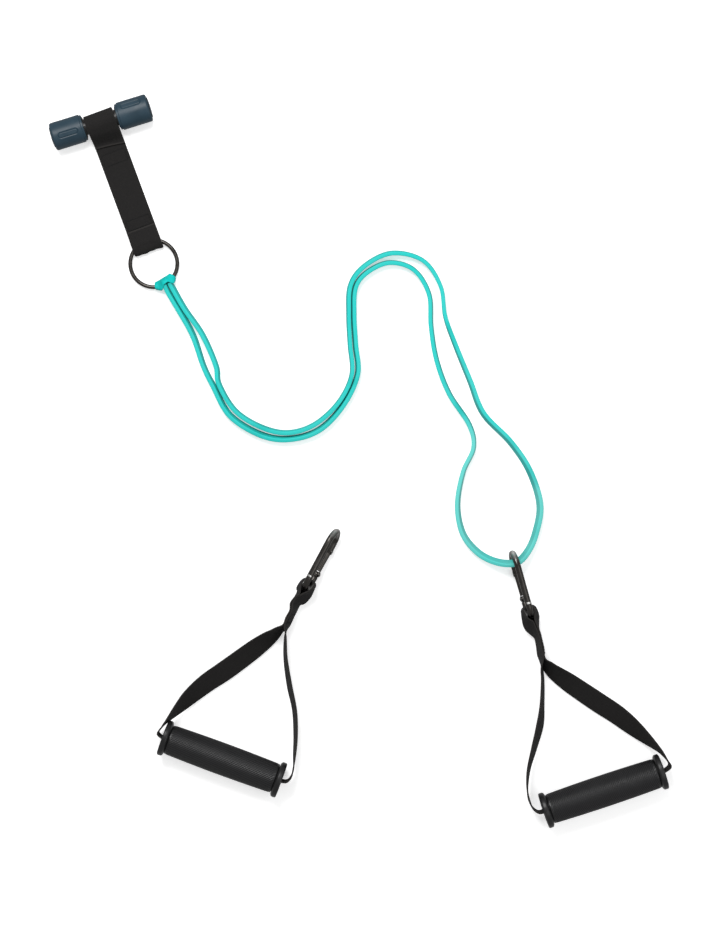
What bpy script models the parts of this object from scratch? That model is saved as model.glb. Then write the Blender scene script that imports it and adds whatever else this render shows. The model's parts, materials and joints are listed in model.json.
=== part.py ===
"""Resistance band set: a looped latex band, a door anchor on a ring, and two clip-on handles.

Metres, +Z up. The set lies flat on the floor plane z = 0, with the bounding box centre of its
hard goods over the origin. +Y points along the longest side of the layout.
"""
import math

import bmesh
import bpy
from mathutils import Matrix, Vector

MM = 0.001
GAP = 0.3 * MM                    # clearance between pieces that touch
TURN_STEPS = 32                   # facets around a turned piece

# band: one closed latex loop, standing on its edge
BAND_WIDTH = 10 * MM
BAND_THICKNESS = 4 * MM
BAND_STATIONS = 38                # stretches in each strand
# hitch: the end of the band doubled round the ring
HITCH_ARC = (-86, -28)            # degrees round the ring
HITCH_WIDTH = 9 * MM
# ring
RING_CENTRE = Vector((-0.2048, 0.2005, 0.0046))
RING_RADIUS = 23.5 * MM           # to the middle of the wire
RING_WIRE = 2 * MM                # wire radius
# door anchor
ANCHOR_ANGLE = 20.3               # degrees, strap direction from the ring, against +Y
AXLE_SKEW = -3.0                  # degrees, the bar sits slightly askew in the strap
AXLE_DISTANCE = 149 * MM          # ring centre to bar axis
ROLLER_RADIUS = 14 * MM
ROLLER_INNER = 20 * MM            # roller ends, measured from the middle of the bar
ROLLER_OUTER = 49.2 * MM
CAP_OUTER = 50.0 * MM
CAP_RADIUS = 10 * MM
AXLE_RADIUS = 3 * MM
CORE_RADIUS = 8.2 * MM
ANCHOR_LOOP_RADIUS = 9.4 * MM     # inside of the strap's loop round the core
ANCHOR_WIDTH = 30 * MM
ANCHOR_PLY = 1.5 * MM             # one layer of webbing
# handles
WEBBING_WIDTH = 22 * MM
WEBBING_PLY = 1.5 * MM
GRIP_HALF = 63 * MM
GRIP_BORE = 11.7 * MM
CORE_TUBE_RADIUS = 13 * MM
SLEEVE_RADIUS = 15.1 * MM
FLANGE_RADIUS = 18 * MM
FLANGE_LENGTH = 6.5 * MM
# snap hooks, standing on edge; local x across, y from the strap end to the tip, z up
HOOK_LENGTH = 70 * MM
HOOK_WIRE = 3.1 * MM              # wire radius
HOOK_SPINE = 13.5 * MM            # spine height over the middle of the hook
HOOK_EYE_RADIUS = 11 * MM         # strap end bend
GATE_PIVOT = (20 * MM, -10 * MM)
LATCH = (46.8 * MM, -13.4 * MM)   # cross pin at the free end of the gate
GATE_RADIUS = 2.5 * MM
SPRING_START = 4.2 * MM           # coil inside the gate, measured from its pivot
SPRING_END = 13 * MM
STRAP_STATIONS = 97

# looks: colour, roughness, metallic
LATEX = ((0.02, 0.53, 0.51), 0.42, 0.0)
WEBBING = ((0.016, 0.016, 0.018), 0.85, 0.0)
THREAD = ((0.03, 0.03, 0.034), 0.7, 0.0)
BLACK_METAL = ((0.03, 0.03, 0.03), 0.35, 0.9)
STEEL = ((0.62, 0.62, 0.6), 0.3, 1.0)
SLATE = ((0.075, 0.11, 0.17), 0.5, 0.0)
BLACK_PLASTIC = ((0.02, 0.02, 0.022), 0.45, 0.0)
RUBBER = ((0.018, 0.018, 0.02), 0.7, 0.0)

# The band lies in two strands that run from the hitch to the loop at the clipped hook.
# Each point is x, y, z in metres and the lean of the strip's top edge in degrees, positive
# to the right of the way from the hitch.
STRAND_A = [
    (-0.1902, 0.1722, 0.0056, 14), (-0.1802, 0.1556, 0.0055, 18), (-0.1655, 0.1290, 0.0055, 16),
    (-0.1550, 0.0985, 0.0054, 12), (-0.1455, 0.0790, 0.0054, 10), (-0.1285, 0.0490, 0.0054, 10),
    (-0.0985, 0.0300, 0.0054, 12), (-0.0700, 0.0255, 0.0054, 12), (-0.0400, 0.0345, 0.0054, 10),
    (-0.0160, 0.0590, 0.0054, 8), (-0.0015, 0.0900, 0.0053, 6), (-0.0035, 0.1195, 0.0053, 6),
    (-0.0052, 0.1500, 0.0053, 8), (-0.0035, 0.1770, 0.0054, 10), (0.0090, 0.1925, 0.0054, 12),
    (0.0310, 0.2015, 0.0054, 12), (0.0550, 0.1942, 0.0054, 10), (0.0700, 0.1700, 0.0054, 8),
    (0.0720, 0.1380, 0.0054, 8), (0.0775, 0.1045, 0.0054, 10), (0.0900, 0.0710, 0.0054, 12),
    (0.1100, 0.0400, 0.0054, 12), (0.1145, 0.0170, 0.0054, 8), (0.1040, -0.0080, 0.0054, 10),
    (0.0985, -0.0400, 0.0054, 14), (0.1035, -0.0680, 0.0056, 20), (0.1180, -0.0870, 0.0066, 24),
    (0.1360, -0.0966, 0.0105, 25),
]
STRAND_B = [
    (-0.1860, 0.1768, 0.0056, 14), (-0.1735, 0.1550, 0.0055, 14), (-0.1560, 0.1295, 0.0055, 12),
    (-0.1425, 0.0985, 0.0054, 10), (-0.1395, 0.0800, 0.0054, 10), (-0.1230, 0.0535, 0.0054, 10),
    (-0.0965, 0.0370, 0.0054, 12), (-0.0700, 0.0318, 0.0054, 12), (-0.0435, 0.0405, 0.0054, 10),
    (-0.0200, 0.0625, 0.0054, 8), (-0.0072, 0.0900, 0.0053, 6), (-0.0090, 0.1195, 0.0053, 6),
    (-0.0103, 0.1500, 0.0053, 8), (-0.0085, 0.1790, 0.0054, 10), (0.0060, 0.1985, 0.0054, 12),
    (0.0330, 0.2110, 0.0054, 12), (0.0640, 0.2035, 0.0054, 8), (0.0815, 0.1780, 0.0054, 4),
    (0.0860, 0.1480, 0.0054, 0), (0.0955, 0.1210, 0.0054, -6), (0.1105, 0.0840, 0.0054, -10),
    (0.1240, 0.0510, 0.0054, -14), (0.1510, 0.0225, 0.0054, -16), (0.1700, -0.0060, 0.0054, -18),
    (0.1805, -0.0400, 0.0054, -20), (0.1760, -0.0690, 0.0058, -20), (0.1672, -0.0878, 0.0092, -22),
]
HOOK_CROSSING = (0.1548, -0.0977, 0.0170, 26)

# Handle placements: the hook's strap end, direction and lean, the grip's centre and direction,
# then the webbing from the hook to the grip. The eye's points are across the hook, along it and
# below the eye's height in mm, the webbing's half width in mm, and its lean. Leg points are
# x, y, z in metres and the lean. A lean is of the top edge, in degrees, positive to the right
# of the way from the hook to the grip.
CLIPPED = {
    "prefix": "clipped",
    "hook_end": (0.1704, -0.1528), "hook_angle": 15.6, "hook_lean": 5.0,
    "grip_centre": (0.24275, -0.32425), "grip_angle": 18.5,
    "left_eye": [
        (-5.6, 10.4, 0.0, 6.2, -2), (-6.0, 5.5, 0.2, 6.8, -10), (-4.7, -1.0, 0.8, 8.6, -24),
        (-3.4, -4.0, 1.2, 9.3, -33), (-2.6, -9.5, 2.0, 10.0, -30), (-0.6, -15.0, 2.6, 10.7, -20)],
    "right_eye": [
        (5.8, 10.4, 0.0, 6.2, 10), (6.9, 5.5, 0.2, 6.7, 16), (6.2, -1.0, 0.8, 8.2, 19),
        (5.9, -4.0, 1.2, 9.0, 14), (5.5, -9.5, 2.0, 10.0, 6), (4.5, -15.0, 2.6, 10.7, -3)],
    "neck_lean": -10,
    "neck": [(0.1783, -0.1735, 0.0160), (0.1803, -0.1830, 0.0145), (0.1815, -0.1915, 0.0135)],
    "left_leg": [
        (0.1816, -0.2020, 0.0128, 6), (0.1828, -0.2150, 0.0122, 10), (0.1822, -0.2390, 0.0120, 14),
        (0.1800, -0.2600, 0.0122, 22), (0.1742, -0.2825, 0.0135, 18), (0.1688, -0.3024, 0.0160, 12),
        (0.1672, -0.3190, 0.0178, 6), (0.1686, -0.3315, 0.0180, 0), (0.1722, -0.3405, 0.0180, 0),
        (0.1780, -0.3450, 0.0180, 0)],
    "right_leg": [
        (0.1866, -0.1981, 0.0118, -26), (0.1942, -0.2063, 0.0100, -42), (0.2087, -0.2170, 0.0080, -58),
        (0.2240, -0.2275, 0.0070, -64), (0.2405, -0.2386, 0.0068, -66), (0.2565, -0.2490, 0.0074, -62),
        (0.2714, -0.2605, 0.0100, -50), (0.2870, -0.2735, 0.0142, -28), (0.2984, -0.2838, 0.0170, -10),
        (0.3050, -0.2922, 0.0180, 0), (0.3088, -0.2990, 0.0180, 0)],
}
LOOSE = {
    "prefix": "loose",
    "hook_end": (-0.0534, -0.1258), "hook_angle": -28.1, "hook_lean": -12.0,
    "grip_centre": (-0.1359, -0.2923), "grip_angle": -20.2,
    "left_eye": [
        (-5.8, 10.4, 0.0, 6.2, -6), (-7.6, 5.5, 0.2, 6.7, -8), (-6.8, -1.0, 0.8, 8.2, -14),
        (-5.5, -4.5, 1.2, 9.0, -10), (-6.3, -9.5, 2.0, 10.0, 2), (-4.9, -15.0, 2.6, 10.7, 16)],
    "right_eye": [
        (5.6, 10.4, 0.0, 6.2, 4), (5.7, 5.5, 0.2, 6.6, 11), (4.2, -1.0, 0.8, 8.2, 25),
        (2.7, -4.5, 1.2, 9.0, 30), (0.7, -9.5, 2.0, 10.0, 31), (-1.7, -15.0, 2.6, 10.7, 22)],
    "neck_lean": 13,
    "neck": [(-0.0650, -0.1447, 0.0160), (-0.0690, -0.1525, 0.0145), (-0.0722, -0.1600, 0.0135)],
    "left_leg": [
        (-0.0805, -0.1653, 0.0118, 24), (-0.0883, -0.1719, 0.0100, 41), (-0.1029, -0.1830, 0.0080, 58),
        (-0.1183, -0.1945, 0.0070, 64), (-0.1345, -0.2062, 0.0068, 66), (-0.1520, -0.2180, 0.0074, 60),
        (-0.1680, -0.2311, 0.0105, 46), (-0.1800, -0.2430, 0.0145, 26), (-0.1900, -0.2540, 0.0172, 8),
        (-0.1965, -0.2618, 0.0180, 0), (-0.1995, -0.2665, 0.0180, 0)],
    "right_leg": [
        (-0.0730, -0.1700, 0.0130, -4), (-0.0730, -0.1927, 0.0122, -10), (-0.0690, -0.2205, 0.0120, -14),
        (-0.0640, -0.2453, 0.0122, -12), (-0.0630, -0.2701, 0.0140, -10), (-0.0640, -0.2890, 0.0165, -6),
        (-0.0650, -0.3010, 0.0180, 0), (-0.0668, -0.3090, 0.0180, 0), (-0.0710, -0.3142, 0.0180, 0)],
}
LAYOUT_SHIFT = (-0.65 * MM, -3.17 * MM)         # moves the whole set so that its box is centred


def clear_scene():
    for obj in list(bpy.data.objects):
        bpy.data.objects.remove(obj)


def new_collection(name):
    collection = bpy.data.collections.new(name)
    bpy.context.scene.collection.children.link(collection)
    return collection


def material(name, colour, roughness, metallic=0.0):
    made = bpy.data.materials.new(name)
    made.use_nodes = True
    shader = made.node_tree.nodes["Principled BSDF"]
    shader.inputs["Base Color"].default_value = (*colour, 1.0)
    shader.inputs["Roughness"].default_value = roughness
    shader.inputs["Metallic"].default_value = metallic
    return made


def add_object(name, data, parent=None, location=(0, 0, 0), rotation=(0, 0, 0)):
    """Link a named object, placed under its parent."""
    obj = bpy.data.objects.new(name, data)
    PARTS.objects.link(obj)
    obj.parent = parent
    obj.location = location
    obj.rotation_euler = rotation
    return obj


def finish(obj, look):
    """Give a piece a material of its own, from its family's look."""
    colour, roughness, metallic = look
    obj.data.materials.append(material(obj.name, colour, roughness, metallic))
    return obj


def add_empty(name, parent=None, location=(0, 0, 0), rotation=(0, 0, 0)):
    return add_object(name, None, parent, location, rotation)


def turned(name, profile, look, parent, location=(0, 0, 0), rotation=(0, 0, 0), steps=TURN_STEPS):
    """A turned piece round local z, from an outline of (radius, height) points.

    The outline runs down its outer side. It is open where it starts and ends on the axis.
    """
    mesh = bpy.data.meshes.new(name)
    count = len(profile)
    solid = profile[0][0] == 0 and profile[-1][0] == 0
    edges = [(i, (i + 1) % count) for i in range(count - 1 if solid else count)]
    mesh.from_pydata([(radius, 0, height) for radius, height in profile], edges, [])
    obj = add_object(name, mesh, parent, location, rotation)
    screw = obj.modifiers.new("turn", "SCREW")
    screw.steps = steps
    screw.render_steps = steps
    screw.use_merge_vertices = True
    screw.merge_threshold = 0.00001
    screw.use_smooth_shade = True
    return finish(obj, look)


def ring_profile(inner, outer, low, high, round_low=0.0, round_high=0.0, steps=4):
    """Closed profile of a bush: its outer side first, from top to bottom, then the bore."""
    points = []
    for corner, radius in (("high", round_high), ("low", round_low)):
        if radius == 0:
            points.append((outer, high if corner == "high" else low))
            continue
        for i in range(steps + 1):
            angle = math.pi / 2 * i / steps
            if corner == "high":
                points.append((outer - radius + radius * math.sin(angle),
                               high - radius + radius * math.cos(angle)))
            else:
                points.append((outer - radius + radius * math.cos(angle),
                               low + radius - radius * math.sin(angle)))
    return points + [(inner, low), (inner, high)]


def rod_profile(radius, half_length):
    """Open outline of a plain rod, from axis to axis."""
    return [(0, half_length), (radius, half_length), (radius, -half_length), (0, -half_length)]


def wire(name, points, radius, look, parent, sides=3, location=(0, 0, 0)):
    """A round wire along a poly line."""
    curve = bpy.data.curves.new(name, "CURVE")
    curve.dimensions = "3D"
    curve.bevel_depth = radius
    curve.bevel_resolution = sides
    curve.use_fill_caps = True
    spline = curve.splines.new("POLY")
    spline.points.add(len(points) - 1)
    for target, point in zip(spline.points, points):
        target.co = (*point, 1.0)
    return finish(add_object(name, curve, parent, location), look)


def smooth_line(points, count):
    """Evenly spaced points on a smooth curve through hand-set points of any dimension."""
    def read(position):
        index = min(int(position), len(points) - 2)
        t = position - index
        before = points[max(index - 1, 0)]
        after = points[min(index + 2, len(points) - 1)]
        start, end = points[index], points[index + 1]
        return tuple(
            0.5 * (2 * b + (c - a) * t + (2 * a - 5 * b + 4 * c - d) * t ** 2
                   + (3 * b - a - 3 * c + d) * t ** 3)
            for a, b, c, d in zip(before, start, end, after))

    fine = [read(i / 40) for i in range(40 * (len(points) - 1) + 1)]
    lengths = [0.0]
    for a, b in zip(fine, fine[1:]):
        lengths.append(lengths[-1] + (Vector(a[:3]) - Vector(b[:3])).length)
    result = []
    place = 0
    for i in range(count):
        target = lengths[-1] * i / (count - 1)
        while place < len(fine) - 2 and lengths[place + 1] < target:
            place += 1
        span = lengths[place + 1] - lengths[place]
        t = min(max((target - lengths[place]) / span, 0.0), 1.0)
        result.append(tuple(a + (b - a) * t for a, b in zip(fine[place], fine[place + 1])))
    return result


def ribbon(name, stations, thickness, look, parent=None):
    """A closed loop of webbing, lofted through (x, y, z, lean, half width) stations."""
    mesh = bpy.data.meshes.new(name)
    shape = bmesh.new()
    rings = []
    count = len(stations)
    for i, (x, y, z, lean, half) in enumerate(stations):
        ahead = Vector(stations[(i + 1) % count][:3])
        behind = Vector(stations[i - 1][:3])
        along = (ahead - behind).normalized()
        right = along.cross(Vector((0, 0, 1))).normalized()
        upright = right.cross(along)
        wide = upright * math.cos(math.radians(lean)) + right * math.sin(math.radians(lean))
        thin = along.cross(wide).normalized() * thickness / 2
        wide *= half
        middle = Vector((x, y, z))
        corners = (middle + wide + thin, middle + wide - thin, middle - wide - thin, middle - wide + thin)
        rings.append([shape.verts.new(corner) for corner in corners])
    for i in range(count):
        here, following = rings[i], rings[(i + 1) % count]
        for k in range(4):
            shape.faces.new((here[k], here[(k + 1) % 4], following[(k + 1) % 4], following[k]))
    bmesh.ops.recalc_face_normals(shape, faces=shape.faces)
    shape.to_mesh(mesh)
    shape.free()
    return finish(add_object(name, mesh, parent), look)


def plate(name, outlines, thickness, look, parent, location=(0, 0, 0), rotation=(0, 0, 0)):
    """A flat outline with holes in it, extruded to a thickness."""
    curve = bpy.data.curves.new(name, "CURVE")
    curve.dimensions = "2D"
    curve.fill_mode = "BOTH"
    curve.extrude = thickness / 2
    for outline in outlines:
        spline = curve.splines.new("POLY")
        spline.points.add(len(outline) - 1)
        spline.use_cyclic_u = True
        for target, (x, y) in zip(spline.points, outline):
            target.co = (x, y, 0, 1)
    return finish(add_object(name, curve, parent, location, rotation), look)


def arc(centre, radius, start, end, steps):
    """Points round a centre, angles in degrees."""
    points = []
    for i in range(steps + 1):
        angle = math.radians(start + (end - start) * i / steps)
        points.append((centre[0] + radius * math.cos(angle), centre[1] + radius * math.sin(angle)))
    return points


def as_mesh(obj):
    """Turn a curve object into a mesh object in the same place, with its caps welded."""
    depsgraph = bpy.context.evaluated_depsgraph_get()
    depsgraph.update()
    mesh = bpy.data.meshes.new_from_object(obj.evaluated_get(depsgraph))
    weld = bmesh.new()
    weld.from_mesh(mesh)
    bmesh.ops.remove_doubles(weld, verts=weld.verts, dist=0.00001)
    weld.to_mesh(mesh)
    weld.free()
    name = obj.name
    place = obj.matrix_world.copy()
    data = obj.data
    bpy.data.objects.remove(obj)
    bpy.data.curves.remove(data)
    made = bpy.data.objects.new(name, mesh)
    PARTS.objects.link(made)
    made.matrix_world = place
    return made


def torus_mesh(name, major, minor, around, across):
    """A closed ring of wire round local z."""
    mesh = bpy.data.meshes.new(name)
    shape = bmesh.new()
    rings = []
    for i in range(around):
        turn = Matrix.Rotation(2 * math.pi * i / around, 3, "Z")
        section = arc((major, 0), minor, 0, 360 - 360 / across, across - 1)
        rings.append([shape.verts.new(turn @ Vector((x, 0, z))) for x, z in section])
    for i in range(around):
        here, following = rings[i], rings[(i + 1) % around]
        for k in range(across):
            n = (k + 1) % across
            shape.faces.new((here[k], following[k], following[n], here[n]))
    bmesh.ops.recalc_face_normals(shape, faces=shape.faces)
    shape.to_mesh(mesh)
    shape.free()
    return mesh


def cut(obj, cutter):
    """Cut one piece with a hidden cutter."""
    CUTTERS.objects.link(cutter)
    cutter.hide_render = True
    cutter.display_type = "WIRE"
    boolean = obj.modifiers.new("cut", "BOOLEAN")
    boolean.operation = "DIFFERENCE"
    boolean.object = cutter


def build_ring(layout):
    ring = add_object("anchor_ring", torus_mesh("anchor_ring", RING_RADIUS, RING_WIRE, 60, 12),
                      layout, RING_CENTRE)
    finish(ring, BLACK_METAL)
    ring.data.shade_smooth()


def build_hitch(layout):
    """The band doubled round the ring, as one sleeve with the ring's wire through it."""
    width, height = HITCH_WIDTH, 2 * RING_CENTRE.z
    corner = 2.6 * MM
    outline = []
    for k, (sx, sz) in enumerate(((1, 1), (-1, 1), (-1, -1), (1, -1))):
        centre = (sx * (width / 2 - corner), sz * (height / 2 - corner))
        outline += arc(centre, corner, 90 * k, 90 * k + 90, 3)
    section = bpy.data.curves.new("hitch_section", "CURVE")
    section.dimensions = "2D"
    spline = section.splines.new("POLY")
    spline.points.add(len(outline) - 1)
    spline.use_cyclic_u = True
    for target, (x, z) in zip(spline.points, reversed(outline)):
        target.co = (x, z, 0, 1)
    guide = bpy.data.objects.new("hitch_section", section)
    CUTTERS.objects.link(guide)
    guide.hide_render = True
    guide.display_type = "WIRE"
    points = [(x, y, 0) for x, y in arc((0, 0), RING_RADIUS, *HITCH_ARC, 14)]
    sleeve = wire("band_hitch", points, 0, LATEX, layout, location=RING_CENTRE)
    sleeve.data.bevel_mode = "OBJECT"
    sleeve.data.bevel_object = guide
    sleeve.data.twist_mode = "Z_UP"
    look = sleeve.data.materials[0]
    sleeve = as_mesh(sleeve)
    sleeve.data.materials.clear()
    sleeve.data.materials.append(look)
    bore = torus_mesh("ring_bore", RING_RADIUS, RING_WIRE + GAP, 60, 12)
    cutter = bpy.data.objects.new("ring_bore", bore)
    cutter.matrix_world = sleeve.matrix_world
    cut(sleeve, cutter)


def build_band(layout):
    """The free length of the loop, from one side of the hitch, through the hook, and back."""
    back = [(x, y, z, -lean) for x, y, z, lean in reversed(STRAND_B)]
    fine = smooth_line(STRAND_A + [HOOK_CROSSING] + back, 1000)
    crossing = Vector(HOOK_CROSSING[:3])
    turn = min(range(len(fine)), key=lambda i: (Vector(fine[i][:3]) - crossing).length)
    rest = len(fine) - 1 - turn
    picks = [round(turn * i / BAND_STATIONS) for i in range(BAND_STATIONS)]
    picks += [turn + round(rest * i / BAND_STATIONS) for i in range(BAND_STATIONS + 1)]
    stations = [fine[pick] for pick in picks]
    section = bpy.data.curves.new("band_section", "CURVE")
    section.dimensions = "2D"
    spline = section.splines.new("POLY")
    spline.points.add(3)
    spline.use_cyclic_u = True
    for target, (sx, sz) in zip(spline.points, ((1, -1), (-1, -1), (-1, 1), (1, 1))):
        target.co = (sx * BAND_THICKNESS / 2, sz * BAND_WIDTH / 2, 0, 1)
    guide = bpy.data.objects.new("band_section", section)
    CUTTERS.objects.link(guide)
    guide.hide_render = True
    guide.display_type = "WIRE"
    band = wire("band", [station[:3] for station in stations], 0, LATEX, layout)
    band.data.bevel_mode = "OBJECT"
    band.data.bevel_object = guide
    band.data.twist_mode = "Z_UP"
    for target, station in zip(band.data.splines[0].points, stations):
        target.tilt = math.radians(station[3])


def anchor_strap_outlines():
    """Side view of the anchor strap: y along the strap from the ring centre, z up."""
    ply = ANCHOR_PLY
    wire_low = math.sqrt((RING_RADIUS - RING_WIRE) ** 2 - (ANCHOR_WIDTH / 2) ** 2) + RING_WIRE
    room = RING_WIRE + 2 * GAP
    ring_z = RING_CENTRE.z
    core = (AXLE_DISTANCE, ROLLER_RADIUS)
    flat_low = 0.1 * MM
    flat_high = flat_low + 2 * ply + 0.2 * MM
    inner_end = wire_low
    outer = arc((inner_end, ring_z), room + ply, 270, 90, 8)
    outer += [(RING_RADIUS, ring_z + room + ply), (36 * MM, flat_high), (123 * MM, flat_high)]
    outer += arc(core, ANCHOR_LOOP_RADIUS + ply, 135, -75, 18)
    outer += [(125 * MM, flat_low), (34 * MM, flat_low)]
    tunnel = arc((inner_end, ring_z), room, 270, 90, 8) + arc((RING_RADIUS, ring_z), room, 90, -90, 8)
    loop = arc(core, ANCHOR_LOOP_RADIUS, 136, -78, 18) + [(128.5 * MM, 1.9 * MM), (128.5 * MM, 3.2 * MM)]
    return [outer, tunnel, loop]


def stitch_box(name, half_length, half_width, parent, location, heights, rotation=(0, 0, 0)):
    """Rows of lockstitch: a thread laid as a rectangle on each face of the webbing."""
    curve = bpy.data.curves.new(name, "CURVE")
    curve.dimensions = "3D"
    curve.bevel_depth = 0.4 * MM
    curve.bevel_resolution = 1
    for height in heights:
        spline = curve.splines.new("POLY")
        spline.points.add(3)
        spline.use_cyclic_u = True
        for target, (sx, sy) in zip(spline.points, ((1, 1), (-1, 1), (-1, -1), (1, -1))):
            target.co = (sx * half_width, sy * half_length, height, 1)
    return finish(add_object(name, curve, parent, location, rotation), THREAD)


def build_anchor(layout):
    """Door anchor: a strap from the ring to a bar with two foam-look rollers on it."""
    swing = add_empty("anchor_swing", layout, (RING_CENTRE.x, RING_CENTRE.y, 0),
                      (0, 0, math.radians(ANCHOR_ANGLE)))
    # the plate's x runs along the strap, its y is up, and it is as thick as the webbing is wide
    plate("anchor_strap", anchor_strap_outlines(), ANCHOR_WIDTH, WEBBING, swing,
          rotation=(math.pi / 2, 0, math.pi / 2))
    flat_top = 0.1 * MM + 2 * ANCHOR_PLY + 0.2 * MM
    lift = 0.4 * MM + GAP
    stitch_box("anchor_bar_stitching", 6 * MM, 12 * MM, swing, (0, 113 * MM, 0), [flat_top + lift])
    stitch_box("anchor_ring_stitching", 5 * MM, 12 * MM, swing, (0, 44 * MM, 0), [flat_top + lift])
    # local z of the bar points along the axle
    bar = add_empty("anchor_bar", swing, (0, AXLE_DISTANCE, ROLLER_RADIUS),
                    (0, math.pi / 2, math.radians(AXLE_SKEW)))
    turned("anchor_axle", rod_profile(AXLE_RADIUS, 46 * MM), STEEL, bar)
    collar, collar_in, core_end = 10.5 * MM, 16.6 * MM, 19.6 * MM
    bore = AXLE_RADIUS + GAP
    edge = 0.3 * MM
    turned("anchor_core", [
        (collar, core_end), (collar, collar_in), (CORE_RADIUS, collar_in), (CORE_RADIUS, -collar_in),
        (collar, -collar_in), (collar, -core_end), (bore, -core_end), (bore, core_end)],
        BLACK_PLASTIC, bar)
    for side, sign in (("left", -1), ("right", 1)):
        flip = (0, 0, 0) if sign > 0 else (math.pi, 0, 0)
        turned(f"anchor_{side}_roller",
               ring_profile(bore, ROLLER_RADIUS, ROLLER_INNER, ROLLER_OUTER, 2.5 * MM, 3 * MM),
               SLATE, bar, rotation=flip)
        turned(f"anchor_{side}_end_cap",
               [(0, CAP_OUTER), (CAP_RADIUS - edge, CAP_OUTER), (CAP_RADIUS, CAP_OUTER - edge),
                (CAP_RADIUS, ROLLER_OUTER + GAP), (0, ROLLER_OUTER + GAP)],
               SLATE, bar, rotation=flip)


def hook_outline():
    """Middle line of the hook's wire, from near the gate's pivot round to the nose."""
    eye = (HOOK_WIRE + HOOK_EYE_RADIUS, HOOK_SPINE - HOOK_EYE_RADIUS)
    crown = (HOOK_LENGTH - HOOK_WIRE - HOOK_SPINE, 0)
    points = [(GATE_PIVOT[0] - 4.6 * MM, GATE_PIVOT[1] + 0.9 * MM)]
    points += arc(eye, HOOK_EYE_RADIUS, 262, 90, 12)
    points += arc(crown, HOOK_SPINE, 90, -90, 14)
    points.append((LATCH[0] - 2 * MM, -HOOK_SPINE))
    return points


def tool_drum(name, radius, half_length, centre):
    """A short rod across the hook, along local x, to join to a piece or to cut it with."""
    mesh = bpy.data.meshes.new(name)
    shape = bmesh.new()
    bmesh.ops.create_cone(shape, cap_ends=True, segments=16, radius1=radius, radius2=radius,
                          depth=2 * half_length)
    bmesh.ops.rotate(shape, verts=shape.verts, matrix=Matrix.Rotation(math.pi / 2, 3, "Y"))
    bmesh.ops.translate(shape, verts=shape.verts, vec=centre)
    shape.to_mesh(mesh)
    shape.free()
    return bpy.data.objects.new(name, mesh)


def tool_box(name, low, high):
    """A box between two corners, to join to a piece or to cut it with."""
    mesh = bpy.data.meshes.new(name)
    shape = bmesh.new()
    bmesh.ops.create_cube(shape, size=1)
    low, high = Vector(low), Vector(high)
    for vert in shape.verts:
        vert.co = [low[k] + (vert.co[k] + 0.5) * (high[k] - low[k]) for k in range(3)]
    shape.to_mesh(mesh)
    shape.free()
    return bpy.data.objects.new(name, mesh)


def carve(obj, frame, steps):
    """Apply a list of joins and cuts to a piece, with each tool placed in the frame's axes."""
    for operation, tool in steps:
        CUTTERS.objects.link(tool)
        tool.hide_render = True
        tool.display_type = "WIRE"
        tool.matrix_world = frame
        boolean = obj.modifiers.new(operation.lower(), "BOOLEAN")
        boolean.operation = operation
        boolean.object = tool


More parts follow.
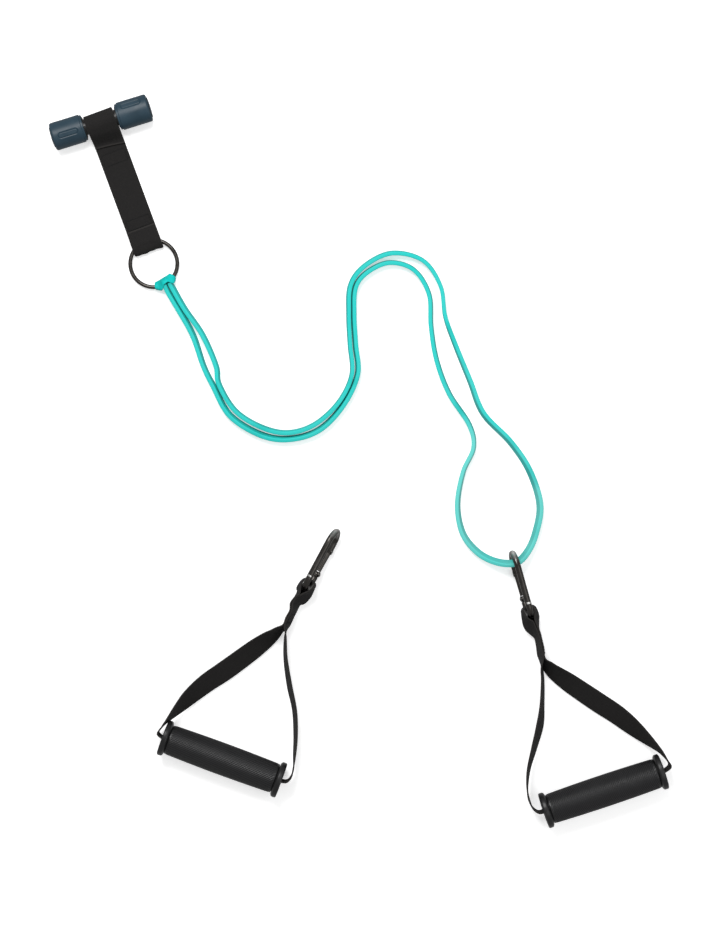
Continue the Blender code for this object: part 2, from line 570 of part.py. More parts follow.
def build_hook(place, layout):
    """Snap hook: a bent wire body, and a sprung gate that swings in from its pivot."""
    prefix = place["prefix"]
    base = add_empty(f"{prefix}_hook", layout, (*place["hook_end"], HOOK_SPINE + HOOK_WIRE),
                     (0, math.radians(place["hook_lean"]), math.radians(place["hook_angle"])))
    pivot_y, pivot_z = GATE_PIVOT
    latch_y, latch_z = LATCH
    slope = math.atan2(latch_z - pivot_z, latch_y - pivot_y)
    length = math.hypot(latch_y - pivot_y, latch_z - pivot_z)
    gate = add_empty(f"{prefix}_gate_pivot", base, (0, pivot_y, pivot_z), (slope, 0, 0))
    bpy.context.view_layer.update()

    body = wire(f"{prefix}_carabiner_body", [(0, y, z) for y, z in hook_outline()], HOOK_WIRE,
                BLACK_METAL, base)
    body = as_mesh(body)
    tongue = 1.4 * MM
    pin = 1.4 * MM
    nose_z = -HOOK_SPINE
    carve(body, base.matrix_world, [
        ("UNION", tool_box("tongue", (-tongue, pivot_y - 6 * MM, pivot_z - 1.5 * MM),
                           (tongue, pivot_y, pivot_z + 2.4 * MM))),
        ("UNION", tool_drum("tongue_end", 2.6 * MM, tongue, (0, pivot_y, pivot_z))),
        ("DIFFERENCE", tool_drum("pin_hole", pin + GAP, 4 * MM, (0, pivot_y, pivot_z))),
        ("DIFFERENCE", tool_box("nose_slot", (-1.5 * MM, latch_y - 4 * MM, nose_z - 1.9 * MM),
                                (1.5 * MM, latch_y + 1.8 * MM, nose_z + 5 * MM))),
        ("DIFFERENCE", tool_box("pin_notch", (-4 * MM, latch_y - 1.2 * MM, nose_z - 1.1 * MM),
                                (4 * MM, latch_y + 1.2 * MM, nose_z + 5 * MM))),
    ])

    # the gate's y runs from its pivot to the latch
    arm_end = length - 2.8 * MM
    bore = 1.6 * MM
    arm = turned(f"{prefix}_carabiner_gate",
                 [(0, arm_end), (GATE_RADIUS - 0.5 * MM, arm_end), (GATE_RADIUS, arm_end - 0.5 * MM),
                  (GATE_RADIUS, 1 * MM), (bore, 1 * MM), (bore, SPRING_END + 0.4 * MM),
                  (0, SPRING_END + 0.4 * MM)],
                 BLACK_METAL, gate, rotation=(-math.pi / 2, 0, 0), steps=20)
    carve(arm, gate.matrix_world, [
        ("UNION", tool_drum("knuckle", 2.7 * MM, 3 * MM, (0, 0, 0))),
        ("DIFFERENCE", tool_box("knuckle_slot", (-tongue - GAP, -4 * MM, -4 * MM),
                                (tongue + GAP, 3.4 * MM, 4 * MM))),
        ("DIFFERENCE", tool_drum("knuckle_hole", pin + GAP, 4 * MM, (0, 0, 0))),
        ("UNION", tool_box("gate_tongue", (-1.1 * MM, arm_end - 1 * MM, -1.3 * MM),
                           (1.1 * MM, length + 1.3 * MM, 1.4 * MM))),
        ("DIFFERENCE", tool_drum("latch_hole", 0.8 * MM + GAP, 2 * MM, (0, length, 0))),
    ])
    turned(f"{prefix}_gate_pivot_pin", rod_profile(pin, 3.8 * MM), STEEL, gate,
           rotation=(0, math.pi / 2, 0), steps=16)
    turned(f"{prefix}_gate_latch_pin", rod_profile(0.8 * MM, 2.8 * MM), STEEL, gate,
           (0, length, 0), (0, math.pi / 2, 0), steps=12)
    coil = []
    turns = 6
    for i in range(turns * 8 + 1):
        angle = math.pi / 4 * i
        along = SPRING_START + (SPRING_END - SPRING_START) * i / (turns * 8)
        coil.append((0.95 * MM * math.cos(angle), along, 0.95 * MM * math.sin(angle)))
    wire(f"{prefix}_gate_spring", coil, 0.28 * MM, STEEL, gate, sides=1)


def strap_stations(place):
    """The closed webbing loop: round the hook, down the neck, a leg, the grip and back."""
    across = Matrix.Rotation(math.radians(place["hook_angle"]), 2)
    end = Vector(place["hook_end"])
    half = WEBBING_WIDTH / 2
    eye_z = 2 * HOOK_SPINE + HOOK_WIRE - HOOK_EYE_RADIUS
    eye_sides = {}
    for side in ("left", "right"):
        placed = []
        for x, y, drop, wide, lean in place[f"{side}_eye"]:
            flat = end + across @ Vector((x * MM, y * MM))
            placed.append((flat.x, flat.y, eye_z - drop * MM, lean, wide * MM))
        eye_sides[side] = placed

    neck_lean = place["neck_lean"]
    layer = (WEBBING_PLY / 2 + GAP / 2) / math.cos(math.radians(neck_lean))
    along = [Vector(point[:2]) for point in place["neck"]]
    heading = (along[-1] - along[0]).normalized()
    right = Vector((heading.y, -heading.x))

    def neck_points(side, lean):
        return [(x + side * layer * right.x, y + side * layer * right.y, z, lean, half)
                for x, y, z in place["neck"]]

    # travel: hook crossing, hook's left side, neck, left leg, grip, right leg, neck, right side
    top = end + across @ Vector((0, 0.0128))
    crossing = (top.x, top.y, eye_z, 0, 0.0060)
    turn = math.radians(place["grip_angle"])
    axis = Vector((math.cos(turn), math.sin(turn)))
    centre = Vector(place["grip_centre"])
    grip_z = FLANGE_RADIUS
    bore = []
    mouth = GRIP_HALF + 0.5 * MM
    for distance in (-mouth, -GRIP_HALF + 5 * MM, -30 * MM, 0, 30 * MM, GRIP_HALF - 5 * MM, mouth):
        spot = centre + axis * distance
        bore.append((spot.x, spot.y, grip_z, 0, half))
    down = [(x, y, z, tilt) for x, y, z, tilt in place["left_leg"]]
    up = [(x, y, z, -tilt) for x, y, z, tilt in reversed(place["right_leg"])]
    route = [crossing] + eye_sides["left"] + neck_points(1, neck_lean)
    route += [(*point, half) for point in down]
    route += bore
    route += [(*point, half) for point in up]
    route += list(reversed(neck_points(-1, -neck_lean)))
    route += [(x, y, z, -tilt, wide) for x, y, z, tilt, wide in reversed(eye_sides["right"])]
    return smooth_line(route + route[:1], STRAP_STATIONS)[:-1]


def build_handle(place, layout):
    prefix = place["prefix"]
    build_hook(place, layout)
    ribbon(f"{prefix}_handle_strap", strap_stations(place), WEBBING_PLY, WEBBING, layout)
    first, middle, last = (Vector(point) for point in place["neck"])
    heading = (last - first).normalized()
    side = heading.cross(Vector((0, 0, 1))).normalized()
    lean = math.radians(place["neck_lean"])
    up = side.cross(heading) * math.cos(lean) + side * math.sin(lean)
    facing = Matrix((up, heading, up.cross(heading))).transposed().to_euler()
    face = WEBBING_PLY + GAP / 2 + GAP + 0.4 * MM
    stitch_box(f"{prefix}_strap_stitching", 4.5 * MM, 8.5 * MM, layout, middle, [face], facing)
    # local z of the grip points along its bore
    grip = add_empty(f"{prefix}_grip", layout, (*place["grip_centre"], FLANGE_RADIUS),
                     (0, math.pi / 2, math.radians(place["grip_angle"])))
    turned(f"{prefix}_grip_core", ring_profile(GRIP_BORE, CORE_TUBE_RADIUS, -GRIP_HALF, GRIP_HALF),
           BLACK_PLASTIC, grip)
    shoulder = GRIP_HALF - FLANGE_LENGTH
    turned(f"{prefix}_grip_sleeve",
           ring_profile(CORE_TUBE_RADIUS + GAP, SLEEVE_RADIUS, -shoulder + GAP, shoulder - GAP),
           RUBBER, grip)
    for side, flip in (("left", (math.pi, 0, 0)), ("right", (0, 0, 0))):
        turned(f"{prefix}_{side}_flange",
               ring_profile(CORE_TUBE_RADIUS + GAP, FLANGE_RADIUS, shoulder, GRIP_HALF, 1.6 * MM, 2.4 * MM),
               BLACK_PLASTIC, grip, rotation=flip)


def build():
    layout = add_empty("layout", location=(*LAYOUT_SHIFT, 0))
    build_ring(layout)
    build_hitch(layout)
    build_band(layout)
    build_anchor(layout)
    build_handle(CLIPPED, layout)
    build_handle(LOOSE, layout)


clear_scene()
PARTS = new_collection("resistance_band")
CUTTERS = new_collection("cutters")
build()
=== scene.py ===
"""Looks of the resistance band set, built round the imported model. Metres, +Z up."""
import json
import math

import bmesh
import bpy
from mathutils import Matrix, Vector


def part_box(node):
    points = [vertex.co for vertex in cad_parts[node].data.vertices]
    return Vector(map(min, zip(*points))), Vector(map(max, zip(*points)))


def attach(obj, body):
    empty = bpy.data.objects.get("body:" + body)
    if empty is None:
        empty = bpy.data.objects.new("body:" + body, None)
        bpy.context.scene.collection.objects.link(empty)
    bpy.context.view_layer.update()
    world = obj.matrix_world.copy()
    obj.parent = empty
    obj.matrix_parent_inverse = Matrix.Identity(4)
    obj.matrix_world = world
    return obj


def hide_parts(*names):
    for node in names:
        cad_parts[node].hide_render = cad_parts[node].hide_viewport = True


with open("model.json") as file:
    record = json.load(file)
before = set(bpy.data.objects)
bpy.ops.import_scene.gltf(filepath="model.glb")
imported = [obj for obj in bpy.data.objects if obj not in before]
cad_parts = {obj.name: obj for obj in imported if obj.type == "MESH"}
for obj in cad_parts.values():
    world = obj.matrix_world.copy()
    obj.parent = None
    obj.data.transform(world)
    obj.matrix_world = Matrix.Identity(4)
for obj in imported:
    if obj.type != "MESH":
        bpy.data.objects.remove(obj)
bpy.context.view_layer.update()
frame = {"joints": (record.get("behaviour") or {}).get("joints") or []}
joints = {joint["name"]: joint for joint in frame["joints"]}

MM = 0.001
GAP = 0.3 * MM
# The layout's points are written round this origin, as in the model of the frame.
RING_CENTRE = Vector((-0.2048, 0.2005, 0.0046))
SHIFT = Vector(joints["anchor_swing"]["pos_m"]) - RING_CENTRE

# band
BAND_WIDTH = 10 * MM
BAND_THICKNESS = 4 * MM
STRAND_A = [
    (-0.1902, 0.1722, 0.0056, 14), (-0.1802, 0.1556, 0.0055, 18), (-0.1655, 0.1290, 0.0055, 16),
    (-0.1550, 0.0985, 0.0054, 12), (-0.1455, 0.0790, 0.0054, 14), (-0.1285, 0.0490, 0.0054, 18),
    (-0.0985, 0.0300, 0.0054, 22), (-0.0700, 0.0255, 0.0054, 21), (-0.0400, 0.0345, 0.0054, 20),
    (-0.0160, 0.0590, 0.0054, 17), (-0.0015, 0.0900, 0.0053, 13), (-0.0035, 0.1195, 0.0053, 12),
    (-0.0052, 0.1500, 0.0053, 12), (-0.0035, 0.1770, 0.0054, 13), (0.0090, 0.1925, 0.0054, 13),
    (0.0310, 0.2015, 0.0054, 12), (0.0550, 0.1942, 0.0054, 10), (0.0700, 0.1700, 0.0054, 8),
    (0.0720, 0.1380, 0.0054, 8), (0.0775, 0.1045, 0.0054, 10), (0.0900, 0.0710, 0.0054, 12),
    (0.1100, 0.0400, 0.0054, 12), (0.1145, 0.0170, 0.0054, 8), (0.1040, -0.0080, 0.0054, 10),
    (0.0985, -0.0400, 0.0054, 14), (0.1035, -0.0680, 0.0056, 20), (0.1180, -0.0870, 0.0066, 24),
    (0.1360, -0.0966, 0.0105, 25),
]
STRAND_B = [
    (-0.1860, 0.1768, 0.0056, 14), (-0.1735, 0.1550, 0.0055, 14), (-0.1560, 0.1295, 0.0055, 12),
    (-0.1425, 0.0985, 0.0054, 10), (-0.1395, 0.0800, 0.0054, 10), (-0.1230, 0.0535, 0.0054, 10),
    (-0.0965, 0.0370, 0.0054, 12), (-0.0700, 0.0318, 0.0054, 12), (-0.0435, 0.0405, 0.0054, 10),
    (-0.0200, 0.0625, 0.0054, 8), (-0.0072, 0.0900, 0.0053, 6), (-0.0090, 0.1195, 0.0053, 6),
    (-0.0103, 0.1500, 0.0053, 8), (-0.0085, 0.1790, 0.0054, 10), (0.0060, 0.1985, 0.0054, 12),
    (0.0330, 0.2110, 0.0054, 12), (0.0640, 0.2035, 0.0054, 8), (0.0815, 0.1780, 0.0054, 4),
    (0.0860, 0.1480, 0.0054, 0), (0.0955, 0.1210, 0.0054, -6), (0.1105, 0.0840, 0.0054, -10),
    (0.1240, 0.0510, 0.0054, -14), (0.1510, 0.0225, 0.0054, -16), (0.1700, -0.0060, 0.0054, -18),
    (0.1805, -0.0400, 0.0054, -20), (0.1760, -0.0690, 0.0058, -20), (0.1672, -0.0878, 0.0092, -22),
]
HOOK_CROSSING = (0.1548, -0.0977, 0.0170, 26)

# ring and hitch
RING_RADIUS = 23.5 * MM
RING_WIRE = 2 * MM
HITCH_ARC = (-87, -31)
# outer edge of the doubled band beyond the wire, in mm, and how far it rises, at angles round the ring
HITCH_LIP = [
    (-87, 2.4), (-79, 3.9), (-72, 5.2), (-68, 3.6), (-64, 1.3), (-57, 0.7), (-51, 0.9), (-48, 3.4),
    (-45, 5.6), (-40, 4.8), (-33, 3.0), (-31, 2.4)]
HITCH_LIFT = [
    (-87, 0.0), (-77, 0.12), (-71, 0.5), (-66, 0.9), (-62, 1.0), (-52, 1.0), (-48, 0.85), (-43, 0.45),
    (-36, 0.1), (-31, 0.0)]
# anchor
ANCHOR_WIDTH = 30 * MM
ANCHOR_PLY = 1.5 * MM
ROLLER_RADIUS = 14 * MM
ROLLER_INNER = 20 * MM
ROLLER_OUTER = 50.2 * MM
CAP_OUTER = 51.0 * MM
ROLLER_LIP = 17.4 * MM            # the rollers' thin inner rims reach in over the spool's collars
AXLE_RADIUS = 3 * MM
ANCHOR_LOOP_RADIUS = 9.4 * MM
PILL = (33.6 * MM, 20 * MM, 5.4 * MM)   # the outline pressed into a roller: place, length and width
PILL_DEPTH = 0.5 * MM
PILL_TURN = {"left": -12, "right": -30}
# handles
WEBBING_WIDTH = 22 * MM
WEBBING_PLY = 1.5 * MM
GRIP_HALF = 63 * MM
CORE_TUBE_RADIUS = 13 * MM
SLEEVE_RADIUS = 14.7 * MM         # at the ends
SLEEVE_CROWN = 0.9 * MM           # more than that in the middle
FLANGE_RADIUS = 18 * MM
FLANGE_LENGTH = 6.5 * MM
RIB_STARTS = 36
RIB_HEIGHT = 0.5 * MM
RIB_ROWS = 230
COLUMNS_PER_RIB = 7
# snap hooks
HOOK_LENGTH = 70 * MM
HOOK_WIRE = 3.1 * MM
HOOK_SPINE = 13.5 * MM
HOOK_EYE_RADIUS = 11 * MM
GATE_PIVOT = (20 * MM, -10 * MM)
LATCH = (46.8 * MM, -13.4 * MM)
EYE_SHADE_STRIP_HALF = 7 * MM                # half the width of a webbing strip under the hook's end, a dark sheet standing in for the shade inside the eye

CLIPPED = {
    "prefix": "clipped", "hook_end": (0.1704, -0.1528), "hook_angle": 15.6, "hook_lean": 5.0,
    "grip_centre": (0.24275, -0.32425), "grip_angle": 18.5,
    # each side of the eye round the hook: across, along and below it, half width and lean
    "left_eye": [
        (-5.6, 10.4, 0.0, 6.2, -2), (-6.0, 5.5, 0.2, 6.8, -10), (-4.7, -1.0, 0.8, 8.6, -24),
        (-3.4, -4.0, 1.2, 9.3, -33), (-2.6, -9.5, 2.0, 10.0, -30), (-0.6, -15.0, 2.6, 10.7, -20)],
    "right_eye": [
        (5.8, 10.4, 0.0, 6.2, 10), (6.9, 5.5, 0.2, 6.7, 16), (6.2, -1.0, 0.8, 8.2, 19),
        (5.9, -4.0, 1.2, 9.0, 14), (5.5, -9.5, 2.0, 10.0, 6), (4.5, -15.0, 2.6, 10.7, -3)],
    "neck_lean": -10,
    "neck": [(0.1783, -0.1735, 0.0160), (0.1803, -0.1830, 0.0145), (0.1815, -0.1915, 0.0135)],
    "left_leg": [
        (0.1816, -0.2020, 0.0128, 6), (0.1828, -0.2150, 0.0122, 10), (0.1822, -0.2390, 0.0120, 14),
        (0.1800, -0.2600, 0.0122, 22), (0.1742, -0.2825, 0.0135, 18), (0.1688, -0.3024, 0.0160, 12),
        (0.1672, -0.3190, 0.0178, 6), (0.1686, -0.3315, 0.0180, 0), (0.1722, -0.3405, 0.0180, 0),
        (0.1780, -0.3450, 0.0180, 0)],
    "right_leg": [
        (0.1866, -0.1981, 0.0118, -26), (0.1942, -0.2063, 0.0100, -42), (0.2087, -0.2170, 0.0080, -58),
        (0.2240, -0.2275, 0.0070, -64), (0.2405, -0.2386, 0.0068, -66), (0.2565, -0.2490, 0.0074, -62),
        (0.2714, -0.2605, 0.0100, -50), (0.2870, -0.2735, 0.0142, -28), (0.2984, -0.2838, 0.0170, -10),
        (0.3050, -0.2922, 0.0180, 0), (0.3088, -0.2990, 0.0180, 0)],
}
LOOSE = {
    "prefix": "loose", "hook_end": (-0.0534, -0.1258), "hook_angle": -28.1, "hook_lean": -12.0,
    "grip_centre": (-0.1359, -0.2923), "grip_angle": -20.2,
    "left_eye": [
        (-5.8, 10.4, 0.0, 6.2, -6), (-7.6, 5.5, 0.2, 6.7, -8), (-6.8, -1.0, 0.8, 8.2, -14),
        (-5.5, -4.5, 1.2, 9.0, -10), (-6.3, -9.5, 2.0, 10.0, 2), (-4.9, -15.0, 2.6, 10.7, 16)],
    "right_eye": [
        (5.6, 10.4, 0.0, 6.2, 4), (5.7, 5.5, 0.2, 6.6, 11), (4.2, -1.0, 0.8, 8.2, 25),
        (2.7, -4.5, 1.2, 9.0, 30), (0.7, -9.5, 2.0, 10.0, 31), (-1.7, -15.0, 2.6, 10.7, 22)],
    "neck_lean": 13,
    "neck": [(-0.0650, -0.1447, 0.0160), (-0.0690, -0.1525, 0.0145), (-0.0722, -0.1600, 0.0135)],
    "left_leg": [
        (-0.0805, -0.1653, 0.0118, 24), (-0.0883, -0.1719, 0.0100, 41), (-0.1029, -0.1830, 0.0080, 58),
        (-0.1183, -0.1945, 0.0070, 64), (-0.1345, -0.2062, 0.0068, 66), (-0.1520, -0.2180, 0.0074, 60),
        (-0.1680, -0.2311, 0.0105, 46), (-0.1800, -0.2430, 0.0145, 26), (-0.1900, -0.2540, 0.0172, 8),
        (-0.1965, -0.2618, 0.0180, 0), (-0.1995, -0.2665, 0.0180, 0)],
    "right_leg": [
        (-0.0730, -0.1700, 0.0130, -4), (-0.0730, -0.1927, 0.0122, -10), (-0.0690, -0.2205, 0.0120, -14),
        (-0.0640, -0.2453, 0.0122, -12), (-0.0630, -0.2701, 0.0140, -10), (-0.0640, -0.2890, 0.0165, -6),
        (-0.0650, -0.3010, 0.0180, 0), (-0.0668, -0.3090, 0.0180, 0), (-0.0710, -0.3142, 0.0180, 0)],
}


# ---------------------------------------------------------------- camera, floor and light

CAMERA_PLACE = (0.0004, -0.0027, 2.5)
PICTURE_HEIGHT = 0.928            # metres of floor from the picture's top to its bottom
SENSOR = 36.0
FLOOR_REACH = 3
FLOOR_GLOW = 0.42                 # a lit table, as for product pictures
WORLD_STRENGTH = 0.5
# name, place, size and power
LIGHTS = (("key", (-0.35, 0.95, 1.5), 0.8, 24), ("fill", (0.9, -0.4, 1.6), 1.4, 7))


def make_camera():
    data = bpy.data.cameras.new("camera")
    data.sensor_width = SENSOR
    data.lens = SENSOR * CAMERA_PLACE[2] / PICTURE_HEIGHT
    camera = bpy.data.objects.new("camera", data)
    bpy.context.scene.collection.objects.link(camera)
    camera.location = CAMERA_PLACE
    bpy.context.scene.camera = camera
    bpy.context.scene.view_settings.view_transform = "Standard"


def make_light(name, location, size, power):
    """A soft round light that faces the middle of the set."""
    data = bpy.data.lights.new(name, "AREA")
    data.shape = "DISK"
    data.size = size
    data.energy = power
    light = bpy.data.objects.new(name, data)
    bpy.context.scene.collection.objects.link(light)
    light.location = location
    light.rotation_euler = (-Vector(location)).to_track_quat("-Z", "Y").to_euler()


def make_stage():
    mesh = bpy.data.meshes.new("floor")
    shape = bmesh.new()
    bmesh.ops.create_grid(shape, x_segments=1, y_segments=1, size=FLOOR_REACH)
    shape.to_mesh(mesh)
    shape.free()
    floor = bpy.data.objects.new("floor", mesh)
    bpy.context.scene.collection.objects.link(floor)
    floor.location.z = -0.0002
    look, _, shader = new_material("floor_paint", (0.92, 0.92, 0.92), 0.9)
    shader.inputs["Emission Color"].default_value = (1, 1, 1, 1)
    shader.inputs["Emission Strength"].default_value = FLOOR_GLOW
    mesh.materials.append(look)
    floor.visible_diffuse = False
    floor.visible_glossy = False
    world = bpy.data.worlds.new("studio")
    world.use_nodes = True
    world.node_tree.nodes["Background"].inputs["Color"].default_value = (1, 1, 1, 1)
    world.node_tree.nodes["Background"].inputs["Strength"].default_value = WORLD_STRENGTH
    bpy.context.scene.world = world
    for light in LIGHTS:
        make_light(*light)


# ---------------------------------------------------------------- materials

def new_material(name, colour, roughness, metallic=0.0):
    made = bpy.data.materials.new(name)
    made.use_nodes = True
    shader = made.node_tree.nodes["Principled BSDF"]
    shader.inputs["Base Color"].default_value = (*colour, 1.0)
    shader.inputs["Roughness"].default_value = roughness
    shader.inputs["Metallic"].default_value = metallic
    return made, made.node_tree, shader


def add_node(tree, kind, **settings):
    node = tree.nodes.new(kind)
    for key, value in settings.items():
        setattr(node, key, value)
    return node


def math_node(tree, operation, first, second=None):
    """A math node whose inputs are sockets or numbers."""
    node = add_node(tree, "ShaderNodeMath", operation=operation)
    for socket, value in zip(node.inputs, (first, second)):
        if value is None:
            continue
        if isinstance(value, (int, float)):
            socket.default_value = value
        else:
            tree.links.new(value, socket)
    return node.outputs[0]


def noise(tree, scale, detail=3.0, stretch=(1, 1, 1)):
    place = add_node(tree, "ShaderNodeTexCoord")
    mapping = add_node(tree, "ShaderNodeMapping")
    mapping.inputs["Scale"].default_value = stretch
    tree.links.new(place.outputs["Object"], mapping.inputs["Vector"])
    made = add_node(tree, "ShaderNodeTexNoise")
    made.inputs["Scale"].default_value = scale
    made.inputs["Detail"].default_value = detail
    tree.links.new(mapping.outputs["Vector"], made.inputs["Vector"])
    return made.outputs["Fac"]


def attribute(tree, name):
    return add_node(tree, "ShaderNodeAttribute", attribute_name=name).outputs["Fac"]


def ramp(tree, value, low, high):
    """Stretch a value from low..high to 0..1."""
    node = add_node(tree, "ShaderNodeMapRange")
    node.inputs["From Min"].default_value = low
    node.inputs["From Max"].default_value = high
    tree.links.new(value, node.inputs["Value"])
    return node.outputs["Result"]


def mixed(tree, factor, first, second):
    node = add_node(tree, "ShaderNodeMix", data_type="RGBA")
    weight, low, high = node.inputs[0], node.inputs[6], node.inputs[7]
    tree.links.new(factor, weight)
    for socket, value in ((low, first), (high, second)):
        if isinstance(value, tuple):
            socket.default_value = (*value, 1.0)
        else:
            tree.links.new(value, socket)
    return node.outputs[2]


def add_bump(tree, shader, height, distance, strength=1.0):
    bump = add_node(tree, "ShaderNodeBump")
    bump.inputs["Strength"].default_value = strength
    bump.inputs["Distance"].default_value = distance
    tree.links.new(height, bump.inputs["Height"])
    tree.links.new(bump.outputs["Normal"], shader.inputs["Normal"])


def latex_material():
    """Turquoise latex: layered cut edges painted a little paler than the faces, partly as a painted
    highlight, a faint bloom, deeper patches, and a painted sheen that makes it paler towards the hook.
    """
    look, tree, shader = new_material("latex", (0.02, 0.5, 0.48), 0.42)
    cloud = ramp(tree, noise(tree, 60, 4), 0.35, 0.7)
    face = mixed(tree, cloud, (0.004, 0.46, 0.43), (0.008, 0.56, 0.52))
    # The cut edges show their layers and are painted a little paler than the faces: the layers are real,
    # the paleness is partly a painted highlight.
    layers = math_node(tree, "SINE", math_node(tree, "MULTIPLY", attribute(tree, "depth"), 6200.0))
    layers = ramp(tree, layers, -1.0, 1.0)
    edge = mixed(tree, layers, (0.004, 0.49, 0.45), (0.04, 0.60, 0.56))
    colour = mixed(tree, attribute(tree, "edge"), face, edge)
    # Painted sheen: patches of the band are painted paler towards the hook, for light glancing off its
    # faces.
    cloudy = ramp(tree, noise(tree, 15, 1), 0.3, 0.64)
    wear_and_painted_sheen = math_node(tree, "MULTIPLY", cloudy, attribute(tree, "painted_sheen_mask"))
    colour = mixed(tree, math_node(tree, "MULTIPLY", wear_and_painted_sheen, 0.6), colour, (0.20, 0.63, 0.58))
    deep = ramp(tree, noise(tree, 27, 1), 0.42, 0.26)
    colour = mixed(tree, math_node(tree, "MULTIPLY", deep, 0.5), colour, (0.004, 0.34, 0.31))
    bloom = ramp(tree, noise(tree, 900, 2), 0.62, 0.8)
    bloom = math_node(tree, "MULTIPLY", bloom, 0.1)
    tree.links.new(mixed(tree, bloom, colour, (0.45, 0.75, 0.72)), shader.inputs["Base Color"])
    rough = math_node(tree, "MULTIPLY_ADD", cloud, 0.12)
    rough.node.inputs[2].default_value = 0.38
    tree.links.new(rough, shader.inputs["Roughness"])
    shader.inputs["Specular IOR Level"].default_value = 0.08
    add_bump(tree, shader, noise(tree, 1400, 2), 0.00004, 0.6)
    return look


def webbing_material(name, dark, light, rib=1.1 * MM, column=3.6 * MM, yarns=6):
    """Woven polyester: ribs across the webbing that run in chevrons, with a soft sheen, and painted
    highlights along its edges and strip ends.
    """
    look, tree, shader = new_material(name, dark, 0.8)
    along = math_node(tree, "DIVIDE", attribute(tree, "along"), rib)
    across = math_node(tree, "DIVIDE", attribute(tree, "across"), column)
    zigzag = math_node(tree, "PINGPONG", across, 0.5)
    slant = math_node(tree, "MULTIPLY", zigzag, 2.6)
    rows = math_node(tree, "MULTIPLY", math_node(tree, "ADD", along, slant), math.tau)
    wave = math_node(tree, "SINE", rows)
    ends = math_node(tree, "SINE", math_node(tree, "MULTIPLY", across, math.tau * yarns))
    weave = math_node(tree, "MULTIPLY_ADD", ends, 0.35)
    tree.links.new(wave, weave.node.inputs[2])
    level = ramp(tree, weave, -1.3, 1.3)
    fuzz = ramp(tree, noise(tree, 700, 4), -0.4, 0.8)
    shade = math_node(tree, "MULTIPLY", level, fuzz)
    # Painted highlight: the narrow sides and the strip ends are painted lighter, as edges that catch the
    # light.
    shade = math_node(tree, "ADD", shade, math_node(tree, "MULTIPLY", attribute(tree, "edge"), 0.8))
    tree.links.new(mixed(tree, shade, dark, light), shader.inputs["Base Color"])
    shader.inputs["Sheen Weight"].default_value = 0.02
    shader.inputs["Sheen Roughness"].default_value = 0.5
    shader.inputs["Specular IOR Level"].default_value = 0.12
    add_bump(tree, shader, level, 0.00018, 0.8)
    return look


def metal_material(name, colour, roughness, metallic, wear_and_painted_sheen):
    """Plated metal: faint uneven gloss and tiny pits, paler where it rubs, and a painted highlight at a
    hook's tip.
    """
    look, tree, shader = new_material(name, colour, roughness, metallic)
    cloud = ramp(tree, noise(tree, 140, 5), 0.3, 0.75)
    rub = ramp(tree, noise(tree, 420, 3), 0.66, 0.82)
    base = mixed(tree, cloud, colour, tuple(1.5 * c for c in colour))
    base = mixed(tree, rub, base, wear_and_painted_sheen)
    # Painted highlight: a hook's nose is painted pale along the rim of its bend.
    painted_tip_highlight = math_node(tree, "MULTIPLY", attribute(tree, "tip"), math_node(tree, "ADD", cloud, 0.5))
    tree.links.new(mixed(tree, painted_tip_highlight, base, (0.85, 0.84, 0.82)), shader.inputs["Base Color"])
    rough = math_node(tree, "MULTIPLY_ADD", cloud, 0.14)
    rough.node.inputs[2].default_value = roughness - 0.05
    tree.links.new(rough, shader.inputs["Roughness"])
    add_bump(tree, shader, noise(tree, 1600, 2), 0.00003, 0.5)
    return look


def moulded_material(name, colour, light, roughness, gloss=0.5, grain=900.0, depth=0.00005):
    """Moulded plastic or rubber: a fine grain, uneven gloss, and painted highlights on the crests where a
    mesh has ribs.
    """
    look, tree, shader = new_material(name, colour, roughness)
    cloud = ramp(tree, noise(tree, 70, 4), 0.3, 0.75)
    base = mixed(tree, cloud, colour, light)
    # Painted highlight: rib crests are painted paler, as tops that catch the light.
    crest = math_node(tree, "POWER", attribute(tree, "crest"), 3.0)
    wear_and_painted_sheen = mixed(tree, crest, base, tuple(3.5 * c for c in light))
    tree.links.new(wear_and_painted_sheen, shader.inputs["Base Color"])
    rough = math_node(tree, "MULTIPLY_ADD", cloud, 0.12)
    rough.node.inputs[2].default_value = roughness - 0.06
    tree.links.new(rough, shader.inputs["Roughness"])
    shader.inputs["Specular IOR Level"].default_value = gloss
    add_bump(tree, shader, noise(tree, grain, 3), depth, 0.7)
    return look


def thread_material():
    look, tree, shader = new_material("thread_look", (0.03, 0.03, 0.034), 0.65)
    twist = ramp(tree, noise(tree, 2500, 2), 0.35, 0.65)
    colour = mixed(tree, twist, (0.004, 0.004, 0.004), (0.016, 0.016, 0.017))
    tree.links.new(colour, shader.inputs["Base Color"])
    shader.inputs["Specular IOR Level"].default_value = 0.2
    add_bump(tree, shader, twist, 0.0001, 0.6)
    return look


# ---------------------------------------------------------------- shapes

def new_piece(name, mesh, look, body, replaced=()):
    piece = bpy.data.objects.new(name, mesh)
    bpy.context.scene.collection.objects.link(piece)
    if look is not None:
        mesh.materials.append(look)
    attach(piece, body)
    if replaced:
        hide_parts(*replaced)
    return piece


def skin(shape, rings):
    """Faces between neighbouring rings of vertices."""
    size = len(rings[0])
    for here, following in zip(rings, rings[1:]):
        for k in range(size):
            n = (k + 1) % size
            shape.faces.new((here[k], here[n], following[n], following[k]))


def ring_at(shape, middle, side, other, radius, sides):
    """A round ring of vertices in the plane of two directions."""
    return [shape.verts.new(middle + side * radius * math.cos(2 * math.pi * k / sides)
                            + other * radius * math.sin(2 * math.pi * k / sides))
            for k in range(sides)]


